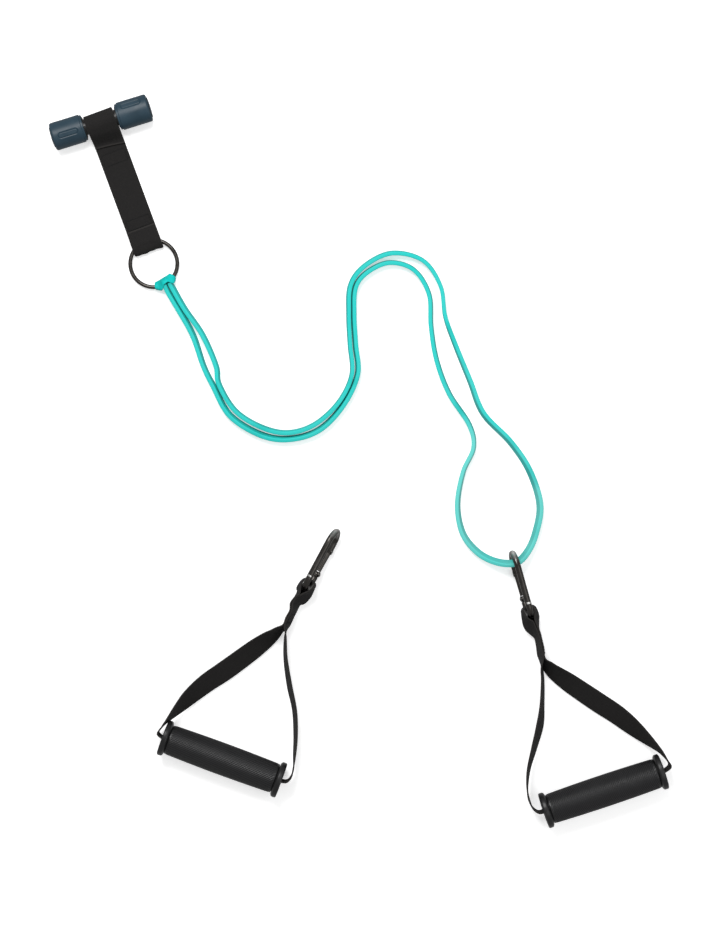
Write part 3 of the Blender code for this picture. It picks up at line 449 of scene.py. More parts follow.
def mesh_from(name, shape, angle=35):
    mesh = bpy.data.meshes.new(name)
    bmesh.ops.recalc_face_normals(shape, faces=shape.faces)
    shape.to_mesh(mesh)
    shape.free()
    mesh.shade_smooth()
    mesh.set_sharp_from_angle(angle=math.radians(angle))
    return mesh


def arc(centre, radius, start, end, steps):
    points = []
    for i in range(steps + 1):
        angle = math.radians(start + (end - start) * i / steps)
        points.append((centre[0] + radius * math.cos(angle), centre[1] + radius * math.sin(angle)))
    return points


def smooth_line(points, spacing):
    """Evenly spaced points on a smooth curve through given points of any dimension."""
    def read(position):
        index = min(int(position), len(points) - 2)
        t = position - index
        before = points[max(index - 1, 0)]
        after = points[min(index + 2, len(points) - 1)]
        start, end = points[index], points[index + 1]
        return tuple(
            0.5 * (2 * b + (c - a) * t + (2 * a - 5 * b + 4 * c - d) * t ** 2
                   + (3 * b - a - 3 * c + d) * t ** 3)
            for a, b, c, d in zip(before, start, end, after))

    fine = [read(i / 40) for i in range(40 * (len(points) - 1) + 1)]
    lengths = [0.0]
    for a, b in zip(fine, fine[1:]):
        lengths.append(lengths[-1] + (Vector(a[:3]) - Vector(b[:3])).length)
    count = max(round(lengths[-1] / spacing), 2)
    result = []
    place = 0
    for i in range(count + 1):
        target = lengths[-1] * i / count
        while place < len(fine) - 2 and lengths[place + 1] < target:
            place += 1
        span = max(lengths[place + 1] - lengths[place], 1e-9)
        t = min(max((target - lengths[place]) / span, 0.0), 1.0)
        result.append(tuple(a + (b - a) * t for a, b in zip(fine[place], fine[place + 1])))
    return result


def section_of(half_width, half_thickness, corner, across=6):
    """Rounded rectangle, as (across, through, edge) points, edge being 1 on the narrow sides."""
    points = []
    for sx, sy, start in ((1, 1, 0), (-1, 1, 90), (-1, -1, 180), (1, -1, 270)):
        centre = (sx * (half_width - corner), sy * (half_thickness - corner))
        for x, y in arc(centre, corner, start, start + 90, 3):
            points.append((x, y, 1.0 if abs(x) > half_width - 0.55 * corner else 0.0))
        if start in (0, 180):
            span = 2 * (half_width - corner)
            for k in range(1, across):
                points.append((sx * (half_width - corner - span * k / across), sy * half_thickness, 0.0))
    return points


def strip(name, stations, section, lift=None):
    """A section lofted through (middle, wide, factor) stations; lift may move each point."""
    shape = bmesh.new()
    layers = {key: shape.verts.layers.float.new(key) for key in ("along", "across", "edge", "depth")}
    rings = []
    travelled = 0.0
    count = len(stations)
    for i, (middle, wide, factor) in enumerate(stations):
        ahead = stations[min(i + 1, count - 1)][0]
        behind = stations[max(i - 1, 0)][0]
        along = (ahead - behind).normalized()
        wide = (wide - along * wide.dot(along)).normalized()
        thin = along.cross(wide).normalized()
        if i:
            travelled += (middle - stations[i - 1][0]).length
        ring = []
        for x, y, edge in section:
            point = middle + wide * x * factor + thin * y
            if lift is not None:
                point = lift(point)
            vert = shape.verts.new(point)
            vert[layers["along"]] = travelled
            vert[layers["across"]] = x * factor
            vert[layers["edge"]] = max(edge, 1.0 if min(i, count - 1 - i) < 2 else 0.0)
            vert[layers["depth"]] = y
            ring.append(vert)
        rings.append(ring)
    skin(shape, rings)
    shape.faces.new(list(reversed(rings[0])))
    shape.faces.new(rings[-1])
    return mesh_from(name, shape, 50)


def lean_stations(route, factor_index=None, reference=1.0):
    """Stations of a strip whose route gives x, y, z, the lean of its top edge and a half width."""
    stations = []
    count = len(route)
    for i, point in enumerate(route):
        ahead = Vector(route[min(i + 1, count - 1)][:3])
        behind = Vector(route[max(i - 1, 0)][:3])
        along = (ahead - behind).normalized()
        right = along.cross(Vector((0, 0, 1))).normalized()
        upright = right.cross(along)
        lean = math.radians(point[3])
        wide = upright * math.cos(lean) + right * math.sin(lean)
        factor = point[factor_index] / reference if factor_index else 1.0
        stations.append((Vector(point[:3]) + SHIFT, wide, factor))
    return stations


def lathe(name, profile, steps=96, closed=True, offset=None):
    """A turned shape round local z; the profile is (radius, height), open ones end on the axis."""
    shape = bmesh.new()
    rings = []
    for i in range(steps):
        angle = 2 * math.pi * i / steps
        ring = []
        for radius, height in profile:
            if radius == 0:
                ring.append(None)
                continue
            reach = radius if offset is None else radius + offset(radius, height, angle)
            ring.append(shape.verts.new((reach * math.cos(angle), reach * math.sin(angle), height)))
        rings.append(ring)
    poles = {k: shape.verts.new((0, 0, profile[k][1])) for k in range(len(profile)) if profile[k][0] == 0}
    count = len(profile)
    for i in range(steps):
        here, following = rings[i], rings[(i + 1) % steps]
        for k in range(count if closed else count - 1):
            n = (k + 1) % count
            corners = [here[k] or poles[k], here[n] or poles[n], following[n] or poles[n],
                       following[k] or poles[k]]
            unique = list(dict.fromkeys(corners))
            if len(unique) > 2:
                shape.faces.new(unique)
    return mesh_from(name, shape)


def rounded(profile, radius, steps=5, closed=True):
    """Round the corners of a profile."""
    result = []
    count = len(profile)
    for i, point in enumerate(profile):
        if not closed and i in (0, count - 1):
            result.append(point)
            continue
        here = Vector(point)
        before = Vector(profile[i - 1]) - here
        after = Vector(profile[(i + 1) % count]) - here
        reach = min(radius, 0.45 * before.length, 0.45 * after.length)
        start = here + before.normalized() * reach
        end = here + after.normalized() * reach
        for k in range(steps + 1):
            t = k / steps
            blend = start * (1 - t) ** 2 + here * 2 * t * (1 - t) + end * t ** 2
            result.append((blend.x, blend.y))
    return result


def axis_frame(position, axis, up=(0, 0, 1)):
    """A matrix whose z runs along an axis and whose x points as near to up as it can."""
    z = Vector(axis).normalized()
    x = Vector(up) - z * Vector(up).dot(z)
    x.normalize()
    y = z.cross(x)
    made = Matrix((x, y, z)).transposed().to_4x4()
    made.translation = Vector(position)
    return made


def mark(mesh, name, value):
    """An attribute for the materials, worked out from where each vertex lies."""
    made = mesh.attributes.new(name, "FLOAT", "POINT")
    for vert in mesh.vertices:
        made.data[vert.index].value = value(vert.co)


def move(mesh, matrix):
    mesh.transform(matrix)
    return mesh


# ---------------------------------------------------------------- band and its hitch

def band_route():
    """Stations of the band from the hitch, through the hook, and back to the hitch."""
    back = [(x, y, z, -lean) for x, y, z, lean in reversed(STRAND_B)]
    start = (-0.1935, 0.1803, 0.0078, 12)
    end = (-0.1895, 0.1829, 0.0078, -8)
    return smooth_line([start] + STRAND_A + [HOOK_CROSSING] + back + [end], 2.2 * MM)


def read_table(table, place):
    """A value read from (place, value) pairs with straight runs between them."""
    for (a, first), (b, second) in zip(table, table[1:]):
        if place <= b:
            return first + (second - first) * (place - a) / (b - a)
    return table[-1][1]


def hitch_profile(angle):
    """Outer side of the doubled band over the wire: outward from the wire, and up, in mm."""
    inner = -5.0 - 1.7 * math.sin(math.pi * (angle - HITCH_ARC[0]) / (HITCH_ARC[1] - HITCH_ARC[0]))
    outer = read_table(HITCH_LIP, angle)
    lift = read_table(HITCH_LIFT, angle)
    low = [(inner + 0.5, 1.4), (inner, 4.2), (inner + 0.9, 7.3), (0.3 * inner, 9.0), (0.35 * outer, 9.0),
           (0.8 * outer, 7.4), (outer, 4.4), (outer - 0.3, 1.6)]
    high = [(inner + 0.5, 1.4), (inner, 4.8), (inner + 0.7, 9.0), (inner + 2.3, 12.2), (inner + 4.0, 13.9),
            (outer - 1.5, 14.6), (outer - 0.5, 14.5), (outer, 14.0)]
    points = [(a + (c - a) * lift, b + (d - b) * lift) for (a, b), (c, d) in zip(low, high)]
    return smooth_line([(x, z, 0) for x, z in points], 0.35)


def make_hitch(look):
    """The band doubled over the ring's wire, raised where the two strands come out under it."""
    shape = bmesh.new()
    layers = {key: shape.verts.layers.float.new(key) for key in ("along", "across", "edge", "depth")}
    steps = 72
    profile_steps = 34
    rings = []
    centre = RING_CENTRE + SHIFT
    for i in range(steps + 1):
        t = i / steps
        turn = HITCH_ARC[0] + (HITCH_ARC[1] - HITCH_ARC[0]) * t
        angle = math.radians(turn)
        outer = hitch_profile(turn)
        outer = [outer[round(k * (len(outer) - 1) / profile_steps)] for k in range(profile_steps + 1)]
        end = min(min(t, 1 - t) * steps / 4, 1)
        thick = 2.0 * (0.35 + 0.65 * math.sqrt(end))
        inset = 0.9 * (1 - math.sqrt(1 - (1 - end) ** 2))
        ring = []
        inner = []
        for k, (n, z, _) in enumerate(outer):
            before, after = outer[max(k - 1, 0)], outer[min(k + 1, profile_steps)]
            run = Vector((after[0] - before[0], after[1] - before[1])).normalized()
            normal = Vector((run.y, -run.x))
            close = min(k, profile_steps - k)
            soft = 0.55 * max(0, 1 - close / 2.0)
            ring.append((n + normal.x * (inset + soft), z + normal.y * (inset + soft), k, 0.0))
            inner.append((n + normal.x * (thick - soft), z + normal.y * (thick - soft), k, 1.0))
        verts = []
        for n, z, k, depth in ring + list(reversed(inner)):
            reach = RING_RADIUS + n * MM
            vert = shape.verts.new((centre.x + reach * math.cos(angle), centre.y + reach * math.sin(angle),
                                    z * MM))
            vert[layers["along"]] = t * 0.025
            vert[layers["across"]] = (k / profile_steps - 0.5) * 0.02
            vert[layers["edge"]] = 1.0 if min(k, profile_steps - k) < 1.5 or depth else 0.0
            vert[layers["depth"]] = 0.001 * k / profile_steps
            verts.append(vert)
        rings.append(verts)
    skin(shape, rings)
    size = len(rings[0])
    for ring in (rings[0], rings[-1]):
        for k in range(profile_steps):
            shape.faces.new((ring[k], ring[k + 1], ring[size - 2 - k], ring[size - 1 - k]))
    mesh = mesh_from("hitch_collar", shape, 60)
    return new_piece("hitch_collar", mesh, look, "band", ("band_hitch",))


def make_band(look):
    stations = lean_stations(band_route())
    section = section_of(BAND_WIDTH / 2, BAND_THICKNESS / 2, 0.9 * MM, 6)
    mesh = strip("band_loop", stations, section)
    hooked = Vector(HOOK_CROSSING[:3]) + SHIFT
    # Where the band gets its painted sheen: 1 near the hook, falling to 0.12 farther off.
    mark(mesh, "painted_sheen_mask", lambda co: min(max((0.26 - (co - hooked).length) / 0.12, 0.12), 1.0))
    band = new_piece("band_loop", mesh, look, "band", ("band",))
    collar = make_hitch(look)


# ---------------------------------------------------------------- anchor

def make_ring(look):
    profile = arc((RING_RADIUS, 0), RING_WIRE, 360, 0, 24)[:-1]
    mesh = lathe("ring", profile, 144)
    move(mesh, Matrix.Translation(RING_CENTRE + SHIFT))
    new_piece("ring", mesh, look, "band", ("anchor_ring",))


def anchor_frame():
    """Axes of the anchor strap: x across it, y from the ring's middle to the bar, z up."""
    ring = Vector(joints["anchor_swing"]["pos_m"])
    low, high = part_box("anchor_core")
    bar = (Vector(low) + Vector(high)) / 2
    along = Vector((bar.x - ring.x, bar.y - ring.y, 0)).normalized()
    across = along.cross(Vector((0, 0, 1)))
    made = Matrix((across, along, Vector((0, 0, 1)))).transposed().to_4x4()
    made.translation = (ring.x, ring.y, 0)
    return made, (Vector((bar.x, bar.y, 0)) - Vector((ring.x, ring.y, 0))).length


def side_stations(route):
    """Stations of a flat strip whose middle line is given from the side, along and up."""
    points = smooth_line([(0.0, y, z) for y, z in route], 0.9 * MM)
    return [(Vector(point), Vector((1, 0, 0)), 1.0) for point in points]


def stitches(name, corners, look, body, replaced, matrix, pitch=2.6 * MM, radius=0.32 * MM):
    """Lockstitch round a rectangle: short threads that dip into the webbing between stitches."""
    shape = bmesh.new()
    up = Vector((0, 0, 1))
    for start, end in zip(corners, corners[1:] + corners[:1]):
        start, end = Vector(start), Vector(end)
        run = end - start
        count = max(round(run.length / pitch), 1)
        for i in range(count):
            middle = start + run * ((i + 0.5) / count)
            half = 0.43 * run.length / count
            along = run.normalized()
            side = along.cross(up).normalized()
            rings = []
            for k in range(7):
                t = k / 6
                rise = math.sin(math.pi * t)
                spot = middle + along * half * (2 * t - 1) + up * 0.28 * MM * rise
                rings.append(ring_at(shape, spot, side, up, radius * (0.55 + 0.45 * rise), 8))
            skin(shape, rings)
            shape.faces.new(rings[0])
            shape.faces.new(rings[-1])
    mesh = mesh_from(name, shape)
    move(mesh, matrix)
    new_piece(name, mesh, look, body, (replaced,))


def rectangle(half_width, half_length, centre, height):
    return [(sx * half_width, centre + sy * half_length, height)
            for sx, sy in ((1, 1), (-1, 1), (-1, -1), (1, -1))]


def make_anchor_strap(webbing, thread):
    matrix, distance = anchor_frame()
    half = ANCHOR_PLY / 2
    core = (distance, ROLLER_RADIUS)
    loop = ANCHOR_LOOP_RADIUS + half
    ring_z = RING_CENTRE.z
    # from the lap above the ring, round the wire, along the floor, and over the bar to the other lap
    route = [(38.0 * MM, 4.25 * MM), (35.0 * MM, 4.3 * MM), (31.5 * MM, 5.2 * MM), (28.0 * MM, 6.9 * MM),
             (24.5 * MM, 7.9 * MM), (20.5 * MM, 8.1 * MM), (15.8 * MM, 7.3 * MM), (13.0 * MM, 4.8 * MM),
             (15.2 * MM, 2.1 * MM), (21.0 * MM, 1.1 * MM), (34.0 * MM, 0.9 * MM), (80.0 * MM, 0.9 * MM),
             (122.0 * MM, 0.9 * MM), (133.0 * MM, 1.6 * MM)]
    route += [(core[0] + loop * math.cos(math.radians(a)), core[1] + loop * math.sin(math.radians(a)))
              for a in range(-78, 137, 12)]
    route += [(137.2 * MM, 17.6 * MM), (132.6 * MM, 10.4 * MM), (129.2 * MM, 6.2 * MM),
              (125.2 * MM, 4.5 * MM)]
    under = [(30 * MM, 2.55 * MM), (60 * MM, 2.5 * MM), (100 * MM, 2.5 * MM), (134 * MM, 2.6 * MM)]
    section = section_of(ANCHOR_WIDTH / 2, half, 0.6 * MM, 24)

    def shaped(point):
        """The strap swells over the wire, waves at the ring's end, and its lap by the bar is cut aslant."""
        point = point.copy()
        reach = math.hypot(point.x, point.y)
        if point.z > ring_z:
            point.z += 0.75 * MM * math.exp(-((reach - RING_RADIUS) / (2.4 * MM)) ** 2)
        if point.y < 18 * MM:
            point.y += 0.3 * MM * math.sin(point.x * 330) + 0.2 * MM * math.sin(point.x * 800 + 1)
        if 120 * MM < point.y < 140 * MM and point.z > 3.4 * MM:
            slant = min(1.0, (140 * MM - point.y) / (12 * MM))
            point.y += slant * (0.5 * MM * math.cos(point.x * 105) - 0.13 * point.x)
        return point

    for name, line in (("anchor_webbing", route), ("anchor_upper_ply", under)):
        mesh = strip(name, side_stations(line), section, shaped)
        move(mesh, matrix)
        replaced = ("anchor_strap",) if name == "anchor_webbing" else ()
        new_piece(name, mesh, webbing, "anchor", replaced)
    for end, half_length, centre in (("bar", 6 * MM, 113 * MM), ("ring", 5 * MM, 44 * MM)):
        corners = rectangle(12 * MM, half_length, centre, 3.35 * MM)
        stitches(f"anchor_{end}_stitches", corners, thread, "anchor", f"anchor_{end}_stitching", matrix)


def pill_distance(along, around, length, width):
    """How far a spot on a roller is from the line of a pill shape."""
    reach = max(abs(along) - (length - width) / 2, 0)
    return abs(math.hypot(reach, around) - width / 2)


def make_roller(side, look, cap_look):
    """A roller and its end cap, with the axle along local z, pointing outward."""
    low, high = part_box("anchor_core")
    middle = (Vector(low) + Vector(high)) / 2
    low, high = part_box(f"anchor_{side}_roller")
    outward = (Vector(low) + Vector(high)) / 2 - middle
    outward.z = 0
    matrix = axis_frame(Vector((middle.x, middle.y, ROLLER_RADIUS)), outward)
    turn = math.radians(PILL_TURN[side])

    def pressed(radius, height, angle):
        """A pill outline pressed into the roller."""
        if radius < ROLLER_RADIUS - 1.2 * MM:
            return 0.0
        around = math.remainder(angle - turn, 2 * math.pi) * ROLLER_RADIUS
        away = pill_distance(height - PILL[0], around, PILL[1], PILL[2])
        groove = PILL_DEPTH * math.exp(-(away / (0.42 * MM)) ** 2)
        return 0.2 * PILL_DEPTH * math.exp(-((away - 1.1 * MM) / (0.5 * MM)) ** 2) - groove

    bore = AXLE_RADIUS + GAP
    lip = ROLLER_RADIUS - 1.0 * MM
    step = ROLLER_INNER - 0.4 * MM
    profile = rounded([(bore, ROLLER_OUTER), (ROLLER_RADIUS, ROLLER_OUTER), (ROLLER_RADIUS, step),
                       (lip, step), (lip, ROLLER_LIP), (lip - 1.4 * MM, ROLLER_LIP),
                       (lip - 1.4 * MM, ROLLER_INNER), (bore, ROLLER_INNER)], 2.4 * MM, 8)
    fine = []
    for here, following in zip(profile, profile[1:] + profile[:1]):
        fine.append(here)
        gap = math.hypot(following[0] - here[0], following[1] - here[1])
        if here[0] > ROLLER_RADIUS - 1 * MM and following[0] > ROLLER_RADIUS - 1 * MM and gap > 1 * MM:
            count = round(gap / (0.3 * MM))
            fine += [(here[0], here[1] + (following[1] - here[1]) * k / count) for k in range(1, count)]
    mesh = lathe(f"{side}_roller", fine, 240, True, pressed)
    move(mesh, matrix)
    body = f"anchor_{side}_roller"
    new_piece(f"{side}_roller", mesh, look, body, (body,))

    def notched(radius, height, angle):
        """Four small notches in the cap's rim."""
        rim = radius > 8.6 * MM
        return -0.9 * MM * max(0.0, math.cos(4 * angle) - 0.88) / 0.12 if rim else 0.0

    crown = CAP_OUTER + 0.2 * MM
    foot = ROLLER_OUTER + GAP
    outline = rounded([(0, crown), (6.4 * MM, crown), (6.9 * MM, CAP_OUTER - 0.4 * MM),
                       (7.5 * MM, CAP_OUTER), (10.2 * MM, CAP_OUTER), (10.2 * MM, foot), (0, foot)],
                      0.6 * MM, 4, False)
    mesh = lathe(f"{side}_cap", outline, 128, False, notched)
    move(mesh, matrix)
    new_piece(f"{side}_cap", mesh, cap_look, "anchor", (f"anchor_{side}_end_cap",))


# ---------------------------------------------------------------- snap hooks

def hook_frame(place):
    """Axes of a snap hook: y from its strap end to its nose, z from the gate to the spine."""
    end = Vector((*place["hook_end"], HOOK_SPINE + HOOK_WIRE)) + Vector((SHIFT.x, SHIFT.y, 0))
    turn = Matrix.Rotation(math.radians(place["hook_angle"]), 4, "Z")
    return Matrix.Translation(end) @ turn @ Matrix.Rotation(math.radians(place["hook_lean"]), 4, "Y")


def hook_outline():
    """Middle line of the hook's wire, from near the gate's pivot round to the nose."""
    eye = (HOOK_WIRE + HOOK_EYE_RADIUS, HOOK_SPINE - HOOK_EYE_RADIUS)
    crown = (HOOK_LENGTH - HOOK_WIRE - HOOK_SPINE, 0)
    points = [(GATE_PIVOT[0] - 4.6 * MM, GATE_PIVOT[1] + 0.9 * MM)]
    points += arc(eye, HOOK_EYE_RADIUS, 262, 90, 40)
    points += [(eye[0] + (crown[0] - eye[0]) * k / 12, HOOK_SPINE) for k in range(1, 12)]
    points += arc(crown, HOOK_SPINE, 90, -90, 48)
    points.append((LATCH[0] - 2 * MM, -HOOK_SPINE))
    return points


def round_wire(name, points, radius, sides=28):
    """A wire with rounded ends."""
    points = [Vector(point) for point in points]
    caps = []
    for end, beside in ((points[0], points[1]), (points[-1], points[-2])):
        outward = (end - beside).normalized()
        caps.append([(end + outward * radius * 0.9 * math.sin(a), radius * math.cos(a))
                     for a in (math.pi / 2 * k / 7 for k in range(1, 7))])
    line = list(reversed(caps[0])) + [(point, radius) for point in points] + caps[1]
    shape = bmesh.new()
    side = None
    rings = []
    for i, (point, thick) in enumerate(line):
        along = (line[min(i + 1, len(line) - 1)][0] - line[max(i - 1, 0)][0]).normalized()
        if side is None:
            side = along.orthogonal().normalized()
        side = (side - along * side.dot(along)).normalized()
        other = along.cross(side)
        rings.append(ring_at(shape, point, side, other, thick, sides))
    skin(shape, rings)
    shape.faces.new(list(reversed(rings[0])))
    shape.faces.new(rings[-1])
    return mesh_from(name, shape, 60)


def slab(name, outline, half_thickness, corner):
    """A plate with rounded edges across local x, with its outline given along and up."""
    shape = bmesh.new()
    verts = [shape.verts.new((-half_thickness, y, z)) for y, z in outline]
    face = shape.faces.new(verts)
    grown = bmesh.ops.extrude_face_region(shape, geom=[face])
    moved = [item for item in grown["geom"] if isinstance(item, bmesh.types.BMVert)]
    bmesh.ops.translate(shape, verts=moved, vec=(2 * half_thickness, 0, 0))
    sharp = [edge for edge in shape.edges if abs(edge.verts[0].co.x - edge.verts[1].co.x) < 1e-6]
    bmesh.ops.bevel(shape, geom=sharp, offset=corner, segments=2, affect="EDGES", profile=0.5)
    return mesh_from(name, shape)


def joined(name, meshes):
    """Several meshes as one."""
    shape = bmesh.new()
    for mesh in meshes:
        shape.from_mesh(mesh)
        bpy.data.meshes.remove(mesh)
    made = bpy.data.meshes.new(name)
    shape.to_mesh(made)
    shape.free()
    return made


def make_hook(place, looks):
    prefix = place["prefix"]
    matrix = hook_frame(place)
    body = round_wire("wire", [(0, y, z) for y, z in hook_outline()], HOOK_WIRE)
    pivot_y, pivot_z = GATE_PIVOT
    tongue = [(pivot_y - 6 * MM, pivot_z + 2.6 * MM), (pivot_y - 6 * MM, pivot_z - 1.6 * MM)]
    tongue += arc((pivot_y, pivot_z), 2.6 * MM, -90, 90, 14)
    latch_y, latch_z = LATCH
    meshes = [body, slab("tongue", tongue, 1.4 * MM, 0.25 * MM)]
    disc = arc((latch_y - 0.8 * MM, latch_z + 0.2 * MM), 3.0 * MM, 0, 345, 23)
    for side in (-1, 1):
        cheek = slab("cheek", disc, 0.75 * MM, 0.3 * MM)
        cheek.transform(Matrix.Translation((side * 2.35 * MM, 0, 0)))
        meshes.append(cheek)
    mesh = joined(f"{prefix}_hook_body", meshes)
    # Where the painted highlight goes: the rim of the nose's bend, in the hook's own plane.
    mark(mesh, "tip", lambda co: min(max((co.y - HOOK_LENGTH + 11 * MM) / (9 * MM), 0.0), 1.0)
         * max(1 - abs(co.x) / HOOK_WIRE, 0.0))
    mesh.shade_smooth()
    mesh.set_sharp_from_angle(angle=math.radians(40))
    move(mesh, matrix)
    new_piece(f"{prefix}_hook_body", mesh, looks["black_metal"], f"{prefix}_hook",
              (f"{prefix}_carabiner_body",))
    # A thin bright steel strip across the spine, put where the spine glints: a painted highlight built as a
    # part.
    outer = 1 if place["hook_lean"] > 0 else -1
    curve = []
    for angle in range(-32, 41, 8):
        turn = math.radians(outer * angle)
        reach = HOOK_WIRE + 0.1 * MM
        spot = Vector((reach * math.sin(turn), 16.2 * MM, HOOK_SPINE + reach * math.cos(turn)))
        curve.append((spot, Vector((0, 1, 0)), 1.0))
    plate = strip(f"{prefix}_hook_painted_glint_strip", curve, section_of(0.9 * MM, 0.3 * MM, 0.15 * MM))
    move(plate, matrix)
    new_piece(f"{prefix}_hook_painted_glint_strip", plate, looks["steel"], f"{prefix}_hook")


# ---------------------------------------------------------------- handles

def strap_route(place):
    """The closed webbing loop: round the hook, down the neck, a leg, the grip and back."""
    across = Matrix.Rotation(math.radians(place["hook_angle"]), 2)
    end = Vector(place["hook_end"])
    half = WEBBING_WIDTH / 2
    eye_z = 2 * HOOK_SPINE + HOOK_WIRE - HOOK_EYE_RADIUS
    eye_sides = {}
    for side in ("left", "right"):
        placed = []
        for x, y, drop, wide, lean in place[f"{side}_eye"]:
            flat = end + across @ Vector((x * MM, y * MM))
            placed.append((flat.x, flat.y, eye_z - drop * MM, lean, wide * MM))
        eye_sides[side] = placed

    neck_lean = place["neck_lean"]
    layer = (WEBBING_PLY / 2 + GAP / 2) / math.cos(math.radians(neck_lean))
    along = [Vector(point[:2]) for point in place["neck"]]
    heading = (along[-1] - along[0]).normalized()
    right = Vector((heading.y, -heading.x))

    def neck_points(side, turned):
        return [(x + side * layer * right.x, y + side * layer * right.y, z, turned * neck_lean, half)
                for x, y, z in place["neck"]]

    top = end + across @ Vector((0, 0.0128))
    turn = math.radians(place["grip_angle"])
    axis = Vector((math.cos(turn), math.sin(turn)))
    centre = Vector(place["grip_centre"])
    mouth = GRIP_HALF + 0.5 * MM
    bore = []
    for distance in (-mouth, -GRIP_HALF + 5 * MM, -30 * MM, 0, 30 * MM, GRIP_HALF - 5 * MM, mouth):
        spot = centre + axis * distance
        bore.append((spot.x, spot.y, FLANGE_RADIUS, 0, half))
    route = [(top.x, top.y, eye_z, 0, 0.0060)] + eye_sides["left"] + neck_points(1, 1)
    route += [(*point, half) for point in place["left_leg"]]
    route += bore
    route += [(x, y, z, -tilt, half) for x, y, z, tilt in reversed(place["right_leg"])]
    route += list(reversed(neck_points(-1, -1)))
    route += [(x, y, z, -tilt, wide) for x, y, z, tilt, wide in reversed(eye_sides["right"])]
    return smooth_line(route + route[:1], 2.0 * MM)


def eye_shade_strip(place):
    """Stations of a webbing strip under the hook's end, between the eye's lower edges: a dark sheet
    standing in for the shade inside the eye.
    """
    across = Matrix.Rotation(math.radians(place["hook_angle"]), 2)
    end = Vector(place["hook_end"])
    eye_z = 2 * HOOK_SPINE + HOOK_WIRE - HOOK_EYE_RADIUS
    spots = [(0.6, 10.0, 2.6, 5.0), (0.4, 4.0, 3.4, 6.4)]
    for left, right in zip(place["left_eye"][2:], place["right_eye"][2:]):
        edges = [side[0] + side[3] * math.sin(math.radians(side[4])) for side in (left, right)]
        low = eye_z / MM - left[2] - left[3] * math.cos(math.radians(left[4]))
        spots.append(((edges[0] + edges[1]) / 2, left[1], low, (edges[1] - edges[0]) / 2))
    side = across @ Vector((1, 0))
    stations = []
    for x, y, z, half in spots:
        flat = end + across @ Vector((x * MM, y * MM))
        stations.append((Vector((*flat, z * MM)) + SHIFT, Vector((*side, 0)), half * MM / EYE_SHADE_STRIP_HALF))
    return stations


def make_strap(place, webbing, thread):
    prefix = place["prefix"]
    stations = lean_stations(strap_route(place), 4, WEBBING_WIDTH / 2)
    section = section_of(WEBBING_WIDTH / 2, WEBBING_PLY / 2, 0.55 * MM, 16)
    loop = strip("loop", stations, section)
    # Painted shade: a dark strip under the hook's end, where the inside of the eye is in shade.
    floor = strip("floor", eye_shade_strip(place), section_of(EYE_SHADE_STRIP_HALF, WEBBING_PLY / 3, 0.3 * MM, 16))
    mesh = joined(f"{prefix}_webbing", [loop, floor])
    new_piece(f"{prefix}_webbing", mesh, webbing, f"{prefix}_handle", (f"{prefix}_handle_strap",))
    first, middle, last = (Vector(point) + SHIFT for point in place["neck"])
    heading = (last - first).normalized()
    side = heading.cross(Vector((0, 0, 1))).normalized()
    lean = math.radians(place["neck_lean"])
    up = side.cross(heading) * math.cos(lean) + side * math.sin(lean)
    matrix = Matrix((up, heading, up.cross(heading))).transposed().to_4x4()
    matrix.translation = middle
    face = WEBBING_PLY + GAP / 2 + 0.1 * MM
    corners = rectangle(8.5 * MM, 4.5 * MM, 0, face)
    stitches(f"{prefix}_neck_stitches", corners, thread, f"{prefix}_handle",
             f"{prefix}_strap_stitching", matrix)


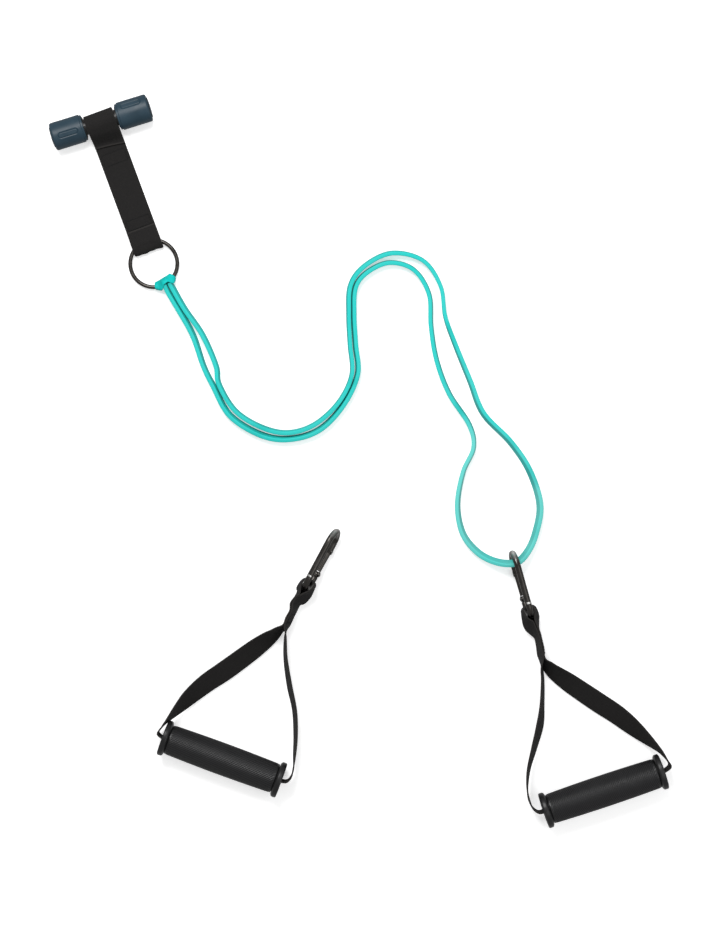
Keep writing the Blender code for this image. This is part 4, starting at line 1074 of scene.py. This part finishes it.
def make_grip(place, rubber, plastic):
    prefix = place["prefix"]
    turn = math.radians(place["grip_angle"])
    centre = Vector((*place["grip_centre"], FLANGE_RADIUS)) + Vector((SHIFT.x, SHIFT.y, 0))
    matrix = axis_frame(centre, (math.cos(turn), math.sin(turn), 0))
    shoulder = GRIP_HALF - FLANGE_LENGTH - GAP
    inner = CORE_TUBE_RADIUS + GAP
    rise = 2 * math.pi / RIB_STARTS * SLEEVE_RADIUS

    def ribbed(radius, height, angle):
        """Barrel shape with diagonal ribs that run out at both ends."""
        if radius < SLEEVE_RADIUS - 0.8 * MM:
            return 0.0
        barrel = SLEEVE_CROWN * (1 - (height / shoulder) ** 2)
        fade = min(1.0, max(0.0, (shoulder - 1.4 * MM - abs(height)) / (1.5 * MM)))
        wave = 0.5 + 0.5 * math.cos(RIB_STARTS * angle + 2 * math.pi * height / rise)
        return barrel + fade * RIB_HEIGHT * (wave ** 1.5 - 0.5)

    def crest_of(co):
        barrel = SLEEVE_RADIUS + SLEEVE_CROWN * (1 - (co.z / shoulder) ** 2)
        return min(max((co.xy.length - barrel) / RIB_HEIGHT + 0.5, 0.0), 1.0)

    edge = 0.8 * MM
    side = SLEEVE_RADIUS - edge
    top = shoulder - edge
    profile = [(inner, shoulder)] + arc((side, top), edge, 90, 0, 4)
    profile += [(SLEEVE_RADIUS, top * (1 - 2 * k / RIB_ROWS)) for k in range(1, RIB_ROWS)]
    profile += arc((side, -top), edge, 0, -90, 4) + [(inner, -shoulder)]
    mesh = lathe(f"{prefix}_sleeve", profile, RIB_STARTS * COLUMNS_PER_RIB, True, ribbed)
    # The crest mask says where the grip's painted highlight goes.
    mark(mesh, "crest", crest_of)
    move(mesh, matrix)
    new_piece(f"{prefix}_sleeve", mesh, rubber, f"{prefix}_grip", (f"{prefix}_grip_sleeve",))
    start = GRIP_HALF - FLANGE_LENGTH
    outline = [(inner, start), (15.4 * MM, start), (FLANGE_RADIUS, start + 1.4 * MM),
               (FLANGE_RADIUS, GRIP_HALF - 0.8 * MM), (16.2 * MM, GRIP_HALF),
               (14.6 * MM, GRIP_HALF - 0.7 * MM), (inner, GRIP_HALF - 0.4 * MM)]
    for side, flip in (("left", math.pi), ("right", 0)):
        mesh = lathe(f"{prefix}_{side}_rim", rounded(list(reversed(outline)), 1.5 * MM, 7), 128)
        move(mesh, matrix @ Matrix.Rotation(flip, 4, "X"))
        new_piece(f"{prefix}_{side}_rim", mesh, plastic, f"{prefix}_grip",
                  (f"{prefix}_{side}_flange",))


# ---------------------------------------------------------------- the whole set

def dress(looks):
    """Materials for the model's own pieces that stay in view."""
    plain = {"anchor_axle": "steel", "anchor_core": "black_plastic"}
    for prefix in ("clipped", "loose"):
        plain[f"{prefix}_carabiner_gate"] = "black_metal"
        plain[f"{prefix}_gate_pivot_pin"] = "pin"
        plain[f"{prefix}_gate_latch_pin"] = "pin"
        plain[f"{prefix}_gate_spring"] = "steel"
        plain[f"{prefix}_grip_core"] = "black_plastic"
    for node, key in plain.items():
        mesh = bpy.data.objects[node].data
        mesh.materials.clear()
        mesh.materials.append(looks[key])


make_camera()
latex = latex_material()
make_band(latex)
make_stage()
webbing = webbing_material("webbing_look", (0.005, 0.005, 0.0052), (0.026, 0.024, 0.023))
thread = thread_material()
looks = {
    "black_metal": metal_material("gunmetal_look", (0.045, 0.042, 0.039), 0.28, 1.0, (0.12, 0.11, 0.10)),
    "steel": metal_material("steel_look", (0.50, 0.50, 0.49), 0.3, 1.0, (0.75, 0.75, 0.73)),
    "black_plastic": moulded_material(
        "plastic_look", (0.008, 0.008, 0.0085), (0.014, 0.014, 0.0145), 0.36, 0.3),
    "pin": metal_material("pin_look", (0.10, 0.10, 0.10), 0.35, 1.0, (0.3, 0.3, 0.3)),
}
slate = moulded_material(
    "slate_foam_look", (0.010, 0.029, 0.045), (0.016, 0.040, 0.060), 0.46, 0.35, 700.0, 0.00008)
slate_cap = moulded_material("slate_cap_look", (0.012, 0.030, 0.046), (0.016, 0.038, 0.056), 0.45, 0.3)
rubber = moulded_material(
    "rubber_look", (0.003, 0.003, 0.0033), (0.006, 0.006, 0.0066), 0.36, 0.34, 1100.0, 0.00006)
make_ring(looks["black_metal"])
make_anchor_strap(webbing, thread)
for side in ("left", "right"):
    make_roller(side, slate, slate_cap)
for place in (CLIPPED, LOOSE):
    make_hook(place, looks)
    make_strap(place, webbing, thread)
    make_grip(place, rubber, looks["black_plastic"])
dress(looks)
